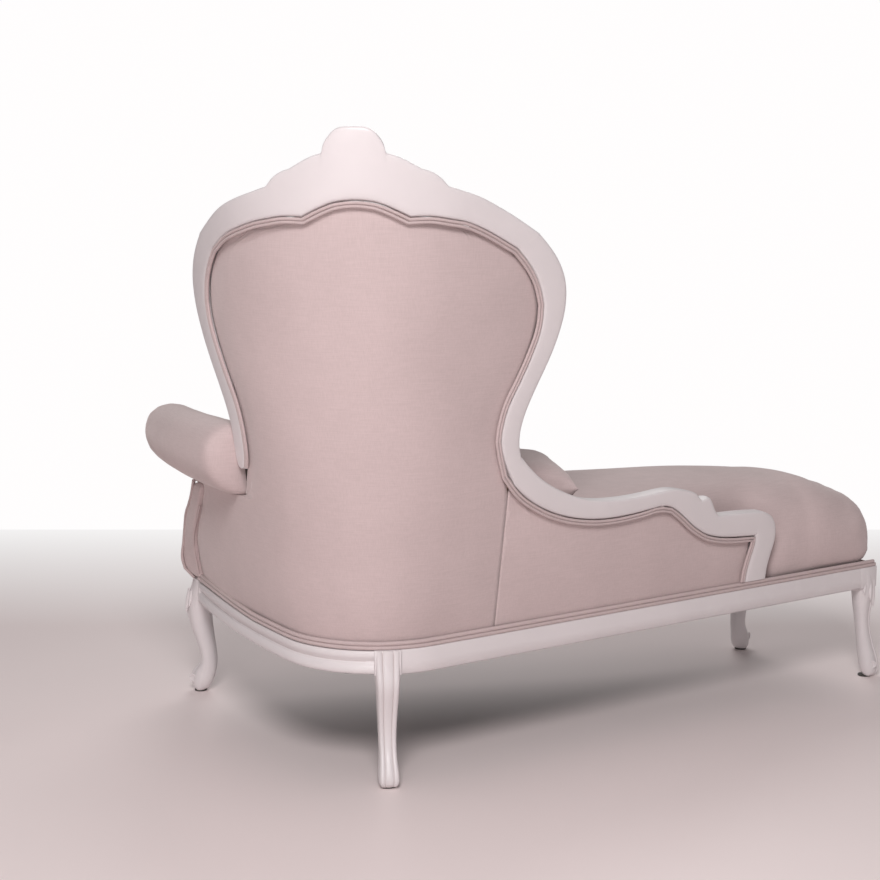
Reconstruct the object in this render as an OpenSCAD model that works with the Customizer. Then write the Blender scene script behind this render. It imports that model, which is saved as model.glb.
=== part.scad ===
// A fainting couch with a tall carved back that wraps one corner, a low rail along the wall side
// and a short padded arm across the head end. Lengths are in millimetres and Z is up.
// The pieces are laid out in plan from the round corner under the back: U runs along the wall side
// towards the foot, V runs from the wall side to the open front. The last module turns that plan
// so that the head end looks along +X and the open front along -Y.

/* [Seat frame] */
// Height of the underside of the seat rails above the floor
leg_h = 200; // [150:5:250]
// Height of the seat rails
rail_h = 45; // [38:1:70]
// Thickness of the seat rails
rail_t = 40; // [34:1:46]
// Width of the leg blocks that the rails meet
leg_w = 48; // [44:1:60]
// Straight length of the wall side, from the round corner to the foot end
wall_run = 1150; // [1060:10:1400]
// Length of the bowed head end, from the round corner to the open front
head_run = 550; // [500:10:640]
// Depth of the foot end, measured from the wall side
foot_depth = 326; // [300:5:420]
// How far the front foot leg stands back from the foot end
foot_set_back = 74; // [0:2:100]
// Radius of the round corner under the back
corner_r = 190; // [170:5:220]
// Radius of the bow of the head end
bow_r = 2000; // [1400:50:2600]
// How far the front rail swings out and in along its length
front_swing = 14; // [0:1:24]

/* [Back] */
// Height of the middle of the crest above the floor
crest_h = 1142; // [1100:2:1200]
// Rise of the crest above the frame beside it
crest_rise = 92; // [60:2:100]
// Height of the waist of the back above the floor
waist_h = 600; // [580:5:620]
// Half of the greatest width of the back, along its curve
back_half = 342; // [320:2:360]
// Thickness of the shaped wood of the back and arms
frame_t = 38; // [34:1:44]
// Angle that the back and sides lean outwards
lean_angle = 9; // [5:0.5:12]
// Angle from the wall side round the corner to the middle of the back
back_turn = 38; // [34:1:42]

/* [Arms] */
// Distance from the middle of the back to the foot side of the wall post
wall_arm_reach = 953; // [930:5:980]
// Height of the low rail on the wall side above the floor
wall_arm_h = 480; // [460:5:500]
// Distance from the middle of the back to the top of the front arm post
front_arm_reach = 560; // [540:5:580]
// Drop from the waist of the back to the top of the wooden rail under the arm pad
arm_drop = 102; // [90:2:110]
// Diameter of the arm pad at the back
arm_pad_d = 140; // [120:2:150]
// Diameter of the arm pad at its front end
arm_pad_front_d = 128; // [110:2:138]
// Distance from the middle of the back to the front end of the arm pad
arm_pad_reach = 700; // [670:5:715]

/* [Upholstery] */
// Height of the crown of the seat above the floor
seat_h = 458; // [420:2:480]
// Diameter of each cord of the double welt along the seat rails
base_cord_d = 7.5; // [6:0.5:9]
// Diameter of each cord of the double welt on the shaped wood
frame_cord_d = 5.5; // [4.5:0.5:6]
// Thickness of the padding inside the back at its crown
back_pad_t = 60; // [45:1:62]
// Thickness of the padding inside the arm and the wall side at its crown
side_pad_t = 40; // [30:1:42]
// Width of the loose cushion
cushion_w = 250; // [220:10:270]
// Thickness of the loose cushion
cushion_t = 80; // [60:5:100]

/* [Hidden] */

// Gap between a soft piece and what it rests on, or lies against
soft_gap = 0.4;
// Top of the seat rails, and of the frame beside the crest
rail_top = leg_h + rail_h;
back_h = crest_h - crest_rise;
// Sideways lean for each unit of height
lean = tan(lean_angle);
// Lengths of the round corner on the two sides of the middle of the back
arc_wall = corner_r * back_turn * PI / 180;
arc_head = corner_r * (90 - back_turn) * PI / 180;
// Distance along the line of the walls from the middle of the back to the two ends
foot_end = arc_wall + wall_run;
front_end = arc_head + head_run;

// Where the head wall leg stands, from the middle of the back to the middle of the leg
head_leg_at = 38;
// How far the block of that leg stands proud of the rails
head_leg_proud = 4;
// Set back of the front and foot rails from the faces of the leg blocks
rail_set_back = 2;
// Outward bow of the foot rail
foot_bow = 10;
// Depth of the base welt, behind which posts and panels stand back, and the height above it
welt_seat_d = base_cord_d;
welt_top = rail_top + 2 * base_cord_d + 2 * soft_gap;
welt_r = frame_cord_d / 2;
// Room for flat facets round the corner
bend_gap = 1;
// Depth of the fabric panels outside, and of the uprights and webbing behind them
panel_edge_d = welt_seat_d + 1.5 * bend_gap;
panel_t = 4;
panel_back_d = panel_edge_d + panel_t;
upright_d = panel_back_d + 1.7 * bend_gap;
upright_t = 14;
strap_d = upright_d + upright_t + soft_gap;
strap_t = 1.2;
pad_back_d = strap_d + 2 * (strap_t + soft_gap) + bend_gap;
// Swell of the outside panels over their edges
panel_crown = 9;
side_crown = 5;
// Flat margin of a panel beside its welt, and the distance in which its swell is reached
panel_margin = 12;
panel_rise = 70;
// Gap between the edge of a panel or pad and the wood, hidden under the welt
tuck = 2;
// Thickness of the pads at their edges, and the distance in which their crown is reached
pad_edge_t = 8;
pad_rise = 90;
// How far below the seat webbing the swell of the pads begins
pad_below = 60;
// Clear depth of the seat inside the padded sides
seat_clear = 11;
seat_inset = pad_back_d + side_pad_t + seat_clear;
// Seat webbing lies on the rails in two layers
webbing_w = 50;
webbing_t = 1.2;
webbing_seat = strap_d;
soft_bottom = rail_top + 2 * webbing_t + 3 * soft_gap;
// Height of the wooden arm rail, and of its top and its underside above the floor
arm_rail_h = 22;
front_arm_h = waist_h - arm_drop;
front_arm_top = front_arm_h - arm_rail_h / 4;
// How far the middle of the arm pad lies above its flat underside, as a share of its radius
arm_pad_sink_share = 0.95;
front_arm_under = front_arm_top - arm_rail_h;
// Width of the hidden uprights
upright_w = 32;
// Where the outside panel and the pad of the back end on the wall upright
wall_seam_at = 0.766 * back_half;

// Shift from the plan to the middle of the whole couch, whose corner legs reach past the rails
knee_reach = 15;
shoulder_reach = corner_r + lean * (back_h - rail_top - (back_h - waist_h) / 10);
origin_u = (wall_run + knee_reach - shoulder_reach) / 2;
origin_v = (2 * corner_r + bow_r * sin(head_run / bow_r * 180 / PI) + knee_reach - shoulder_reach) / 2;

// Outline of the carved crest, from its middle outwards. Each row holds the upper edge and the
// lower edge of the wood: along as a share of back_half, and height as a share of the crest
// above the frame for the upper edge, of the frame above the waist for the lower edge
crest_shares = [
    [0.000, 1.00, 0.000, 0.942],
    [0.038, 1.00, 0.030, 0.940],
    [0.060, 0.90, 0.055, 0.934],
    [0.082, 0.74, 0.082, 0.925],
    [0.092, 0.56, 0.112, 0.913],
    [0.132, 0.47, 0.145, 0.898],
    [0.172, 0.34, 0.172, 0.889],
    [0.218, 0.28, 0.194, 0.883],
    [0.250, 0.11, 0.225, 0.882],
    [0.288, -0.02, 0.255, 0.881],
    [0.332, -0.10, 0.290, 0.877]
];

// Outline of the frame from the crest down to the waist: outer edge, then inner edge, with
// along as a share of back_half and height as a share of the frame above the waist
frame_shares = [
    [0.332, 0.980, 0.290, 0.877],
    [0.470, 0.938, 0.378, 0.858],
    [0.620, 0.887, 0.500, 0.818],
    [0.785, 0.820, 0.650, 0.764],
    [0.900, 0.742, 0.740, 0.700],
    [0.977, 0.651, 0.807, 0.631],
    [1.000, 0.560, 0.850, 0.551],
    [0.988, 0.467, 0.851, 0.462],
    [0.942, 0.351, 0.813, 0.360],
    [0.871, 0.233, 0.751, 0.249],
    [0.816, 0.133, 0.696, 0.160],
    [0.792, 0.055, 0.672, 0.078],
    [0.795, 0.000, 0.668, 0.018]
];
// Row of frame_shares at which the crest rail meets the stiles
joint_row = 3;
// Lower end of the wall stile, down to its joint with the low rail
stile_wall_shares = [
    [0.801, -0.022, 0.700, -0.058],
    [0.813, -0.049, 0.790, -0.173]
];
// Lower end of the front stile, a small carved tip above the arm pad
stile_front_shares = [
    [0.797, -0.055, 0.680, -0.062],
    [0.790, -0.095, 0.700, -0.100],
    [0.768, -0.118, 0.728, -0.120]
];
// Low rail on the wall side, from the joint to the mitre at its post: upper edge, then lower
// edge, with along as a share of the run to the post and height as a share of the rail's height
// above the seat rail
wall_arm_shares = [
    [0.044, 1.294, 0.018, 1.106],
    [0.095, 1.183, 0.070, 1.004],
    [0.163, 1.085, 0.147, 0.906],
    [0.247, 1.000, 0.234, 0.843],
    [0.354, 0.970, 0.329, 0.817],
    [0.462, 0.978, 0.440, 0.834],
    [0.551, 1.000, 0.514, 0.860],
    [0.607, 0.974, 0.559, 0.838],
    [0.651, 0.934, 0.598, 0.765],
    [0.673, 0.869, 0.622, 0.712],
    [0.704, 0.890, 0.645, 0.661],
    [0.724, 0.804, 0.668, 0.618],
    [0.746, 0.722, 0.700, 0.567],
    [0.776, 0.712, 0.735, 0.532],
    [0.846, 0.710, 0.796, 0.498],
    [0.929, 0.694, 0.911, 0.476]
];
// Post at the end of that rail: foot side, then head side
wall_post_shares = [
    [0.970, 0.645, 0.912, 0.450],
    [0.994, 0.545, 0.911, 0.404],
    [1.000, 0.420, 0.905, 0.332],
    [0.990, 0.290, 0.898, 0.240],
    [0.983, 0.175, 0.893, 0.145]
];
// Front arm post from the arm rail down to the front leg: front side, then back side, with
// along as a share of the run from the arm's reach to the front end, and last how far the front
// side bulges outwards as a share of the wood's thickness
front_post_shares = [
    [0.040, 1.000, -0.316, 1.000, 0.00],
    [0.197, 0.900, -0.130, 0.860, 0.00],
    [0.430, 0.780, 0.130, 0.715, 0.00],
    [0.710, 0.640, 0.430, 0.560, 0.03],
    [0.920, 0.490, 0.630, 0.430, 0.22],
    [1.000, 0.335, 0.720, 0.305, 0.56],
    [1.000, 0.190, 0.720, 0.185, 0.62]
];
front_foot_bulge_share = 0.36;
// Section of the shaped wood: share of the width, share of the thickness
wood_edge_shares = [[0, 0.24], [0.05, 0.08], [0.18, 0], [0.82, 0], [0.95, 0.08], [1, 0.24]];
// Section of the moulded rails from top to bottom: share of rail_h, then depth as a share of it
moulding_shares = [
    [1.00, 0.06], [0.94, 0.00], [0.82, -0.03], [0.70, -0.01], [0.61, 0.05], [0.54, 0.09],
    [0.46, 0.06], [0.36, -0.03], [0.22, -0.07], [0.08, -0.04], [0.00, 0.06]
];
// Section of the plain wall rail, measured the same way
plain_shares = [[1.00, 0.02], [0.96, 0.00], [0.06, 0.00], [0.00, 0.06]];
// Shape of a leg from the floor up: height share, outward sweep share, depth share, width share
leg_shares = [
    [0.000, 0.92, 0.80, 0.74],
    [0.040, 0.90, 0.92, 0.80],
    [0.110, 0.80, 1.10, 0.86],
    [0.180, 0.66, 1.16, 0.86],
    [0.235, 0.46, 1.06, 0.80],
    [0.300, 0.16, 0.84, 0.75],
    [0.380, 0.04, 0.79, 0.76],
    [0.500, 0.15, 0.85, 0.80],
    [0.670, 0.50, 0.98, 0.90],
    [0.860, 0.88, 1.14, 1.00],
    [0.950, 0.80, 1.22, 1.06],
    [1.000, 0.62, 1.22, 1.06]
];
leg_glide_h = 3;

// Curves and lofts
function mix(p, q, t) = p + (q - p) * t;
function unit(v) = v / norm(v);
function bend(p, q, r, s, t) =
    (2 * q + (r - p) * t + (2 * p - 5 * q + 4 * r - s) * t * t + (3 * q - p - 3 * r + s) * t * t * t) / 2;
function curve(rows, steps) = let(last = len(rows) - 1) [
    for (i = [0:last - 1], k = [0:steps - 1])
        bend(rows[max(i - 1, 0)], rows[i], rows[i + 1], rows[min(i + 2, last)], k / steps),
    rows[last]
];
function reversed(list) = [for (i = [len(list) - 1:-1:0]) list[i]];
function total(list) = list * [for (x = list) 1];
function turned(faces) = [for (f = faces) [f[0], f[2], f[1]]];
function volume(points, faces) = total([for (f = faces) points[f[0]] * cross(points[f[1]], points[f[2]])]);

// Closed solid through rings of points, with flat strips across its two end rings. The last few
// points of a ring may lie under it, on the line that closes it
module loft(rings, under = 0) {
    m = len(rings[0]);
    n = len(rings);
    around = m - under;
    points = [for (ring = rings) each ring];
    side = [for (i = [0:n - 2], j = [0:m - 1]) let(k = (j + 1) % m)
        each [[i * m + j, i * m + k, i * m + m + k], [i * m + j, i * m + m + k, i * m + m + j]]];
    end = concat(
        [for (k = [0:around / 2 - 2]) [k, k + 1, around - 2 - k]],
        [for (k = [1:1:around / 2 - 2]) [k, around - 2 - k, around - 1 - k]],
        [for (k = [around - 1:m - 1]) [around - 2, k, (k + 1) % m]]
    );
    far = [for (f = end) [for (i = f) i + (n - 1) * m]];
    faces = concat(side, turned(end), far);
    polyhedron(points, volume(points, faces) > 0 ? turned(faces) : faces);
}

// Plan line of the walls at a distance from the middle of the back, positive towards the wall
// side: [u, v, and the outward direction in plan]
function wall_line(along) =
    along > arc_wall ? [along - arc_wall, 0, 0, -1] :
    along > -arc_head ?
        let(t = back_turn - along / corner_r * 180 / PI)
        [-corner_r * sin(t), corner_r * (1 - cos(t)), -sin(t), -cos(t)] :
    let(t = (-along - arc_head) / bow_r * 180 / PI)
    [-corner_r + bow_r * (1 - cos(t)), corner_r + bow_r * sin(t), -cos(t), sin(t)];

// Point on the leaning walls: distance along, height, and depth inwards from the outer face
function on_wall(along, height, depth) =
    let(b = wall_line(along), r = max(height - rail_top, 0) * lean - depth)
    [b[0] + b[2] * r, b[1] + b[3] * r, height];
function in_plan(along, depth) = let(p = on_wall(along, 0, depth)) [p[0], p[1]];

// Rows of real sizes from the tables of shares
frame_rise = back_h - waist_h;
crest_rows = [for (s = crest_shares) [
    s[0] * back_half, back_h + s[1] * crest_rise, s[2] * back_half, waist_h + s[3] * frame_rise]];
function frame_rows(shares) = [for (s = shares) [
    s[0] * back_half, waist_h + s[1] * frame_rise, s[2] * back_half, waist_h + s[3] * frame_rise]];
side_rows = frame_rows(frame_shares);
function span(rows, first, last) = [for (i = [first:last]) rows[i]];
stile_rows = span(side_rows, joint_row, len(side_rows) - 1);
stile_wall_rows = concat(stile_rows, frame_rows(stile_wall_shares));
stile_front_rows = concat(stile_rows, frame_rows(stile_front_shares));
shoulder_rows = curve(span(side_rows, 0, joint_row), 2);
half_crest_rows = concat(crest_rows, span(shoulder_rows, 1, len(shoulder_rows) - 1));
function mirrored(rows) = [for (r = rows) [-r[0], r[1], -r[2], r[3]]];
// Lower tip of the front stile, and where the arm pad starts beside it
tip = stile_front_rows[len(stile_front_rows) - 1];
outer_edge = [for (r = reversed(stile_front_rows)) [r[1], r[0]]];
arm_pad_from = 2 * soft_gap + max(
    stile_front_rows[len(stile_rows)][0],
    lookup(front_arm_top + arm_pad_d * arm_pad_sink_share, outer_edge)
);

wall_joint = stile_wall_rows[len(stile_wall_rows) - 1];
wall_run_to_post = wall_arm_reach - wall_joint[0];
function wall_arm_rows(shares) = [for (s = shares) [
    wall_joint[0] + s[0] * wall_run_to_post, rail_top + s[1] * (wall_arm_h - rail_top),
    wall_joint[0] + s[2] * wall_run_to_post, rail_top + s[3] * (wall_arm_h - rail_top)]];
arm_rows = concat([wall_joint], wall_arm_rows(wall_arm_shares));
post_rows = concat([arm_rows[len(arm_rows) - 1]], wall_arm_rows(wall_post_shares));
post_foot = let(r = post_rows[len(post_rows) - 1]) [r[0], welt_top, r[2], welt_top, 0];

front_run = front_end - front_arm_reach;
front_post_rows = [for (s = front_post_shares) [
    -front_arm_reach - s[0] * front_run, rail_top + s[1] * (front_arm_under - rail_top),
    -front_arm_reach - s[2] * front_run, rail_top + s[3] * (front_arm_under - rail_top), s[4] * frame_t]];
front_post_foot = let(r = front_post_rows[len(front_post_rows) - 1])
    [r[0], welt_top, r[2], welt_top, front_foot_bulge_share * frame_t];

// Ring of shaped wood across one row, from a front depth to the back, with the row's bulge at its
// outer edge
function wood_point(row, share, depth) =
    on_wall(mix(row[2], row[0], share), mix(row[3], row[1], share), depth);
function wood_ring(row, front = 0, bulge = 0) = concat(
    [for (s = wood_edge_shares) wood_point(row, s[0], front - bulge * s[0] + s[1] * (frame_t - front) / 2)],
    [for (s = reversed(wood_edge_shares)) wood_point(row, s[0], frame_t - s[1] * (frame_t - front) / 2)]
);
// A post's foot: level above the base welt, then set back behind it, and from the side, down to
// the seat rail
function foot_rings(row, side) = [
    wood_ring(row, 0, row[4]),
    for (h = [welt_top - soft_gap, rail_top]) wood_ring([row[0] + side, h, row[2], h], panel_edge_d)
];

// Lower edge of the wood over the wall side, and inner edge of the balloon at a height
lower_edge = [for (r = curve(arm_rows, 2)) [r[2], r[3]]];
function lower_edge_h(along) = lookup(along, lower_edge);
function edge_by_height(rows) = [for (r = reversed(rows)) [r[3], r[2]]];
function below_first(rows) = span(curve(rows, 2), 1, 2 * len(rows) - 2);
wall_edge = edge_by_height(concat(half_crest_rows, below_first(stile_wall_rows)));
front_edge = edge_by_height(concat(half_crest_rows, below_first(stile_front_rows)));
function inner_reach(height) = lookup(height, wall_edge);
// Lower edge of the crest and shoulders over the fabric of the back
arch_edge = [for (r = half_crest_rows) [r[2], r[3]]];

// Colours
wood_colour = [0.90, 0.87, 0.86];
fabric_colour = [0.76, 0.64, 0.62];
hidden_wood_colour = [0.78, 0.65, 0.48];
webbing_colour = [0.62, 0.52, 0.38];
felt_colour = [0.16, 0.15, 0.15];
glide_colour = [0.20, 0.18, 0.17];

// Turns the plan into the couch's own frame, with the origin on the floor under its middle
module placed() translate([origin_u, origin_v, 0]) rotate([0, 0, 180]) children();

// Plan of the two open sides, from the inner faces of the leg blocks
front_start = in_plan(-front_end, leg_w);
front_corner = [wall_run - foot_set_back, foot_depth];
front_dir = unit(front_corner - front_start);
front_out = [-front_dir[1], front_dir[0]];
front_len = norm(front_corner - front_start) - leg_w;
foot_start = [wall_run, leg_w];
foot_stop = front_corner - leg_w * front_out;
foot_dir = unit(foot_stop - foot_start);
foot_len = norm(foot_stop - foot_start);
foot_out = [foot_dir[1], -foot_dir[0]];
function framed(p, out) = [p[0], p[1], out[0], out[1]];
function front_line(t) =
    let(w = 360 * min(t, 1), slope = t > 1 ? 0 : front_swing * cos(w) * 2 * PI / front_len)
    framed(front_start + front_dir * front_len * t + front_out * front_swing * sin(w),
        unit(front_out - front_dir * slope));
function foot_line(t) =
    framed(mix(foot_start, foot_stop, t) + foot_out * foot_bow * sin(180 * t),
        unit(foot_out - foot_dir * foot_bow * PI * cos(180 * t) / foot_len));
function inset(frame, depth) = [frame[0] - frame[2] * depth, frame[1] - frame[3] * depth];

// Corners of the four leg blocks in plan: the outer corner first, its opposite third
head_wall_block = [for (s = [[-1, -head_leg_proud], [1, -head_leg_proud], [1, leg_w], [-1, leg_w]])
    in_plan(head_leg_at + s[0] * leg_w / 2, s[1])];
head_front_block = [for (s = [[0, 0], [0, 1], [1, 1], [1, 0]])
    in_plan(-front_end + s[0] * leg_w, s[1] * leg_w)];
foot_wall_block = [for (s = [[0, 0], [0, 1], [1, 1], [1, 0]]) [wall_run - s[0] * leg_w, s[1] * leg_w]];
foot_front_block = [for (s = [[0, 0], [0, 1], [1, 1], [1, 0]])
    front_corner - s[0] * leg_w * front_dir - s[1] * leg_w * front_out];

function power(x, e) = sign(x) * pow(abs(x), e);
// Section of a leg: corners is 1 for a round section, less for a square one, more for a diamond
function leg_ring(height, out, half_depth, half_width, corners) = [for (k = [0:15]) let(t = k * 360 / 16)
    [out + half_depth * power(cos(t), corners), half_width * power(sin(t), corners), height]];
module leg(block, out, sweep, corners, across = 1) {
    middle = (block[0] + block[1] + block[2] + block[3]) / 4;
    shaft_h = leg_h - leg_glide_h;
    color(wood_colour) {
        translate([middle[0], middle[1], leg_glide_h])
            rotate([0, 0, atan2(out[1], out[0])])
                loft([for (s = curve(leg_shares, 1)) leg_ring(s[0] * shaft_h, s[1] * sweep,
                    s[2] * across * leg_w / 2, s[3] * across * leg_w / 2, corners)]);
        translate([0, 0, leg_h]) linear_extrude(rail_h) polygon(block);
    }
}
// How far the feet swing outwards: under the back, at the foot end of the wall side, and in front
head_sweep = 34;
back_sweep = 16;
front_sweep = 26;
corner_width_share = 1.14;
function diagonal(block) = unit(block[0] - block[2]);
head_leg_out = let(b = wall_line(head_leg_at)) [b[2], b[3]];
module leg_head_wall() leg(head_wall_block, head_leg_out, head_sweep, 0.8, 0.97);
module leg_head_front()
    leg(head_front_block, diagonal(head_front_block), front_sweep, 1.1, corner_width_share);
module leg_foot_wall()
    leg(foot_wall_block, diagonal(foot_wall_block), back_sweep, 1.1, corner_width_share);
module leg_foot_front()
    leg(foot_front_block, diagonal(foot_front_block), front_sweep, 1.1, corner_width_share);
glide_r = 13;
module foot_glides() color(glide_colour)
    for (foot = [
        [head_wall_block, head_leg_out, head_sweep],
        [head_front_block, diagonal(head_front_block), front_sweep],
        [foot_wall_block, diagonal(foot_wall_block), back_sweep],
        [foot_front_block, diagonal(foot_front_block), front_sweep]
    ])
        let(b = foot[0], at = (b[0] + b[1] + b[2] + b[3]) / 4 + foot[1] * foot[2] * leg_shares[0][1])
            translate([at[0], at[1], 0]) cylinder(r = glide_r, h = leg_glide_h, $fn = 32);

// Seat rails
function rail_ring(frame, shares) = concat(
    [for (s = shares) concat(inset(frame, s[1] * rail_h), leg_h + s[0] * rail_h)],
    [for (s = reversed(shares)) concat(inset(frame, rail_t), leg_h + s[0] * rail_h)]
);
module head_rail() color(wood_colour)
    let(first = leg_w - front_end, last = head_leg_at - leg_w / 2)
        loft([for (k = [0:20]) rail_ring(wall_line(mix(first, last, k / 20)), moulding_shares)]);
module wall_rail() color(wood_colour)
    let(first = head_leg_at + leg_w / 2)
        loft(concat(
            [for (k = [0:6]) rail_ring(wall_line(mix(first, arc_wall, k / 6)), plain_shares)],
            [rail_ring(wall_line(foot_end - leg_w), plain_shares)]
        ));
function set_back(frame) = concat(inset(frame, rail_set_back), [frame[2], frame[3]]);
module foot_rail() color(wood_colour)
    loft(concat(
        [rail_ring(set_back(framed(foot_start, [1, 0])), moulding_shares)],
        [for (k = [1:5]) rail_ring(set_back(foot_line(k / 6)), moulding_shares)],
        [rail_ring(set_back(framed(foot_stop, front_dir)), moulding_shares)]
    ));
front_start_out = unit(head_front_block[1] - head_front_block[2]);
module front_rail() color(wood_colour)
    loft(concat(
        [rail_ring(set_back(framed(front_start, front_start_out)), moulding_shares)],
        [for (k = [1:13]) rail_ring(set_back(front_line(k / 14)), moulding_shares)],
        [rail_ring(set_back(framed(front_corner - front_dir * leg_w, front_out)), moulding_shares)]
    ));

// Glued blocks across the corners of the seat frame
block_h = 30;
block_near = 25;
block_far = 60;
block_gap = 0.7;
rail_back_d = rail_t + rail_set_back + block_gap;
module corner_blocks() color(hidden_wood_colour)
    translate([0, 0, leg_h + (rail_h - block_h) / 2])
        linear_extrude(block_h) {
            polygon([
                [wall_run - leg_w - block_far, rail_t + block_gap],
                [wall_run - leg_w - block_near, rail_t + block_gap],
                inset(foot_line(block_near / foot_len), rail_back_d),
                inset(foot_line(block_far / foot_len), rail_back_d)
            ]);
            polygon([
                inset(wall_line(leg_w + block_far - front_end), rail_t + block_gap),
                inset(wall_line(leg_w + block_near - front_end), rail_t + block_gap),
                inset(front_line(block_near / front_len), rail_back_d),
                inset(front_line(block_far / front_len), rail_back_d)
            ]);
            polygon([
                inset(foot_line(1 - block_far / foot_len), rail_back_d),
                inset(foot_line(1 - block_near / foot_len), rail_back_d),
                inset(front_line(1 - block_near / front_len), rail_back_d),
                inset(front_line(1 - block_far / front_len), rail_back_d)
            ]);
        }

// Shaped wood of the back
module crest_rail() color(wood_colour)
    let(wall_half = span(half_crest_rows, 1, len(half_crest_rows) - 1))
        loft([for (r = concat(reversed(mirrored(half_crest_rows)), wall_half)) wood_ring(r)]);
module stile_wall() color(wood_colour)
    loft([for (r = curve(stile_wall_rows, 2)) wood_ring(r)]);
module stile_front() color(wood_colour)
    loft([for (r = curve(mirrored(stile_front_rows), 2)) wood_ring(r)]);

// Hidden frame behind the fabric
function upright_rings(near, far, top) = [for (h = [rail_top, top]) [
    on_wall(near, h, upright_d), on_wall(far, h, upright_d),
    on_wall(far, h, upright_d + upright_t), on_wall(near, h, upright_d + upright_t)]];
front_upright_far = arm_pad_from - 2 * soft_gap;
module upright_front() color(hidden_wood_colour)
    loft(upright_rings(upright_w - front_upright_far, -front_upright_far, tip[3] - soft_gap));
wall_upright_far = wall_joint[2] - soft_gap;
wall_upright_near = wall_upright_far - upright_w;
module upright_wall() color(hidden_wood_colour)
    loft(upright_rings(wall_upright_near, wall_upright_far, wall_joint[3] - soft_gap));
lower_rail_h = 300;
lower_rail_w = 45;
module lower_back_rail() color(hidden_wood_colour)
    let(top = lower_rail_h + lower_rail_w,
        front = upright_d + bend_gap,
        back = upright_d + upright_t - soft_gap)
        loft([for (k = [0:24]) let(a = mix(upright_w - front_upright_far, wall_upright_near, k / 24))
            [on_wall(a, lower_rail_h, front), on_wall(a, lower_rail_h, back),
            on_wall(a, top, back), on_wall(a, top, front)]]);

// Low rail and post on the wall side
module wall_arm_rail() color(wood_colour)
    loft([for (r = curve(arm_rows, 2)) wood_ring(r)]);
module wall_arm_post() color(wood_colour)
    loft(concat([for (r = curve(post_rows, 2)) wood_ring(r)], foot_rings(post_foot, 0)));

// Rail and post of the front arm
arm_rail_stop = 40;
module front_arm_rail() color(wood_colour)
    let(last = front_arm_reach + arm_rail_stop, front = upright_d + bend_gap, back = pad_back_d - soft_gap)
        loft([for (k = [0:8]) let(a = -mix(front_upright_far, last, k / 8))
            [on_wall(a, front_arm_under, front), on_wall(a, front_arm_under, back),
            on_wall(a, front_arm_top, back), on_wall(a, front_arm_top, front)]]);
module front_arm_post() color(wood_colour)
    loft(concat(
        [for (r = curve(front_post_rows, 2)) wood_ring(r, 0, r[4])],
        foot_rings(front_post_foot, panel_edge_d)
    ));

// Webbing and the dust cover
function front_v(u) =
    let(t = (u - front_start[0]) / (front_corner[0] - front_start[0]))
    front_line(t * (1 + leg_w / front_len))[1];
strap_count = 8;
strap_start_share = 0.3;
module seat_webbing_cross() color(webbing_colour)
    for (k = [0:strap_count - 1])
        let(u = mix(0, wall_run - 2 * leg_w, (k + strap_start_share) / strap_count), right = u + webbing_w)
            translate([0, 0, rail_top + soft_gap]) linear_extrude(webbing_t)
                polygon([[u, webbing_seat], [right, webbing_seat],
                    [right, front_v(right) - webbing_seat], [u, front_v(u) - webbing_seat]]);
long_strap_count = 4;
function head_u(v) =
    v < corner_r ? -sqrt(pow(corner_r, 2) - pow(corner_r - v, 2)) :
    bow_r - corner_r - sqrt(pow(bow_r, 2) - pow(v - corner_r, 2));
function foot_u(v) = mix(wall_run, foot_stop[0], (v - leg_w) / (foot_stop[1] - leg_w));
function front_u(v) =
    mix(front_start[0], front_corner[0], (v - front_start[1]) / (front_corner[1] - front_start[1]));
function strap_end_u(v) = min(foot_u(v) - webbing_seat, front_u(v + front_swing + webbing_seat));
module seat_webbing_long() color(webbing_colour)
    for (k = [0:long_strap_count - 1])
        let(v = leg_w + 2 * webbing_w * k + webbing_w / 2, top = v + webbing_w)
            translate([0, 0, rail_top + 2 * soft_gap + webbing_t]) linear_extrude(webbing_t)
                polygon([[head_u(v) + webbing_seat, v], [strap_end_u(v), v],
                    [strap_end_u(top), top], [head_u(top) + webbing_seat, top]]);
strap_at_shares = [-0.42, 0, 0.42];
cross_strap_shares = [0.05, 0.32, 0.6];
module back_webbing() color(webbing_colour) {
    for (s = strap_at_shares)
        let(a = s * back_half, w = webbing_w / 2, foot = lower_rail_h + soft_gap,
            top = lookup(abs(a) + w, arch_edge) - soft_gap)
            loft([for (k = [0:6]) let(h = mix(foot, top, k / 6))
                [on_wall(a - w, h, strap_d), on_wall(a, h, strap_d), on_wall(a + w, h, strap_d),
                on_wall(a + w, h, strap_d + strap_t), on_wall(a, h, strap_d + strap_t),
                on_wall(a - w, h, strap_d + strap_t)]]);
    for (s = cross_strap_shares)
        let(h = waist_h + s * frame_rise, top = h + webbing_w, d = strap_d + strap_t + soft_gap,
            reach = min(inner_reach(h), inner_reach(top)) - soft_gap)
            loft([for (k = [-8:8]) let(a = k / 8 * reach)
                [on_wall(a, h, d), on_wall(a, top, d),
                on_wall(a, top, d + strap_t), on_wall(a, h, d + strap_t)]]);
}
dust_cover_t = 1.2;
dust_cover_inset = 12;
module dust_cover() color(felt_colour)
    translate([0, 0, leg_h - dust_cover_t - soft_gap]) linear_extrude(dust_cover_t)
        difference() {
            polygon(concat(
                [for (k = [0:24])
                    inset(wall_line(mix(leg_w - front_end, foot_end - leg_w, k / 24)), dust_cover_inset)],
                [for (k = [0:4]) inset(foot_line(k / 4), dust_cover_inset)],
                [for (k = [0:10]) inset(front_line(1 - k / 10), dust_cover_inset)]
            ));
            for (b = [head_wall_block, head_front_block, foot_wall_block, foot_front_block])
                translate((b[0] + b[1] + b[2] + b[3]) / 4) circle(r = leg_w, $fn = 48);
        }

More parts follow.
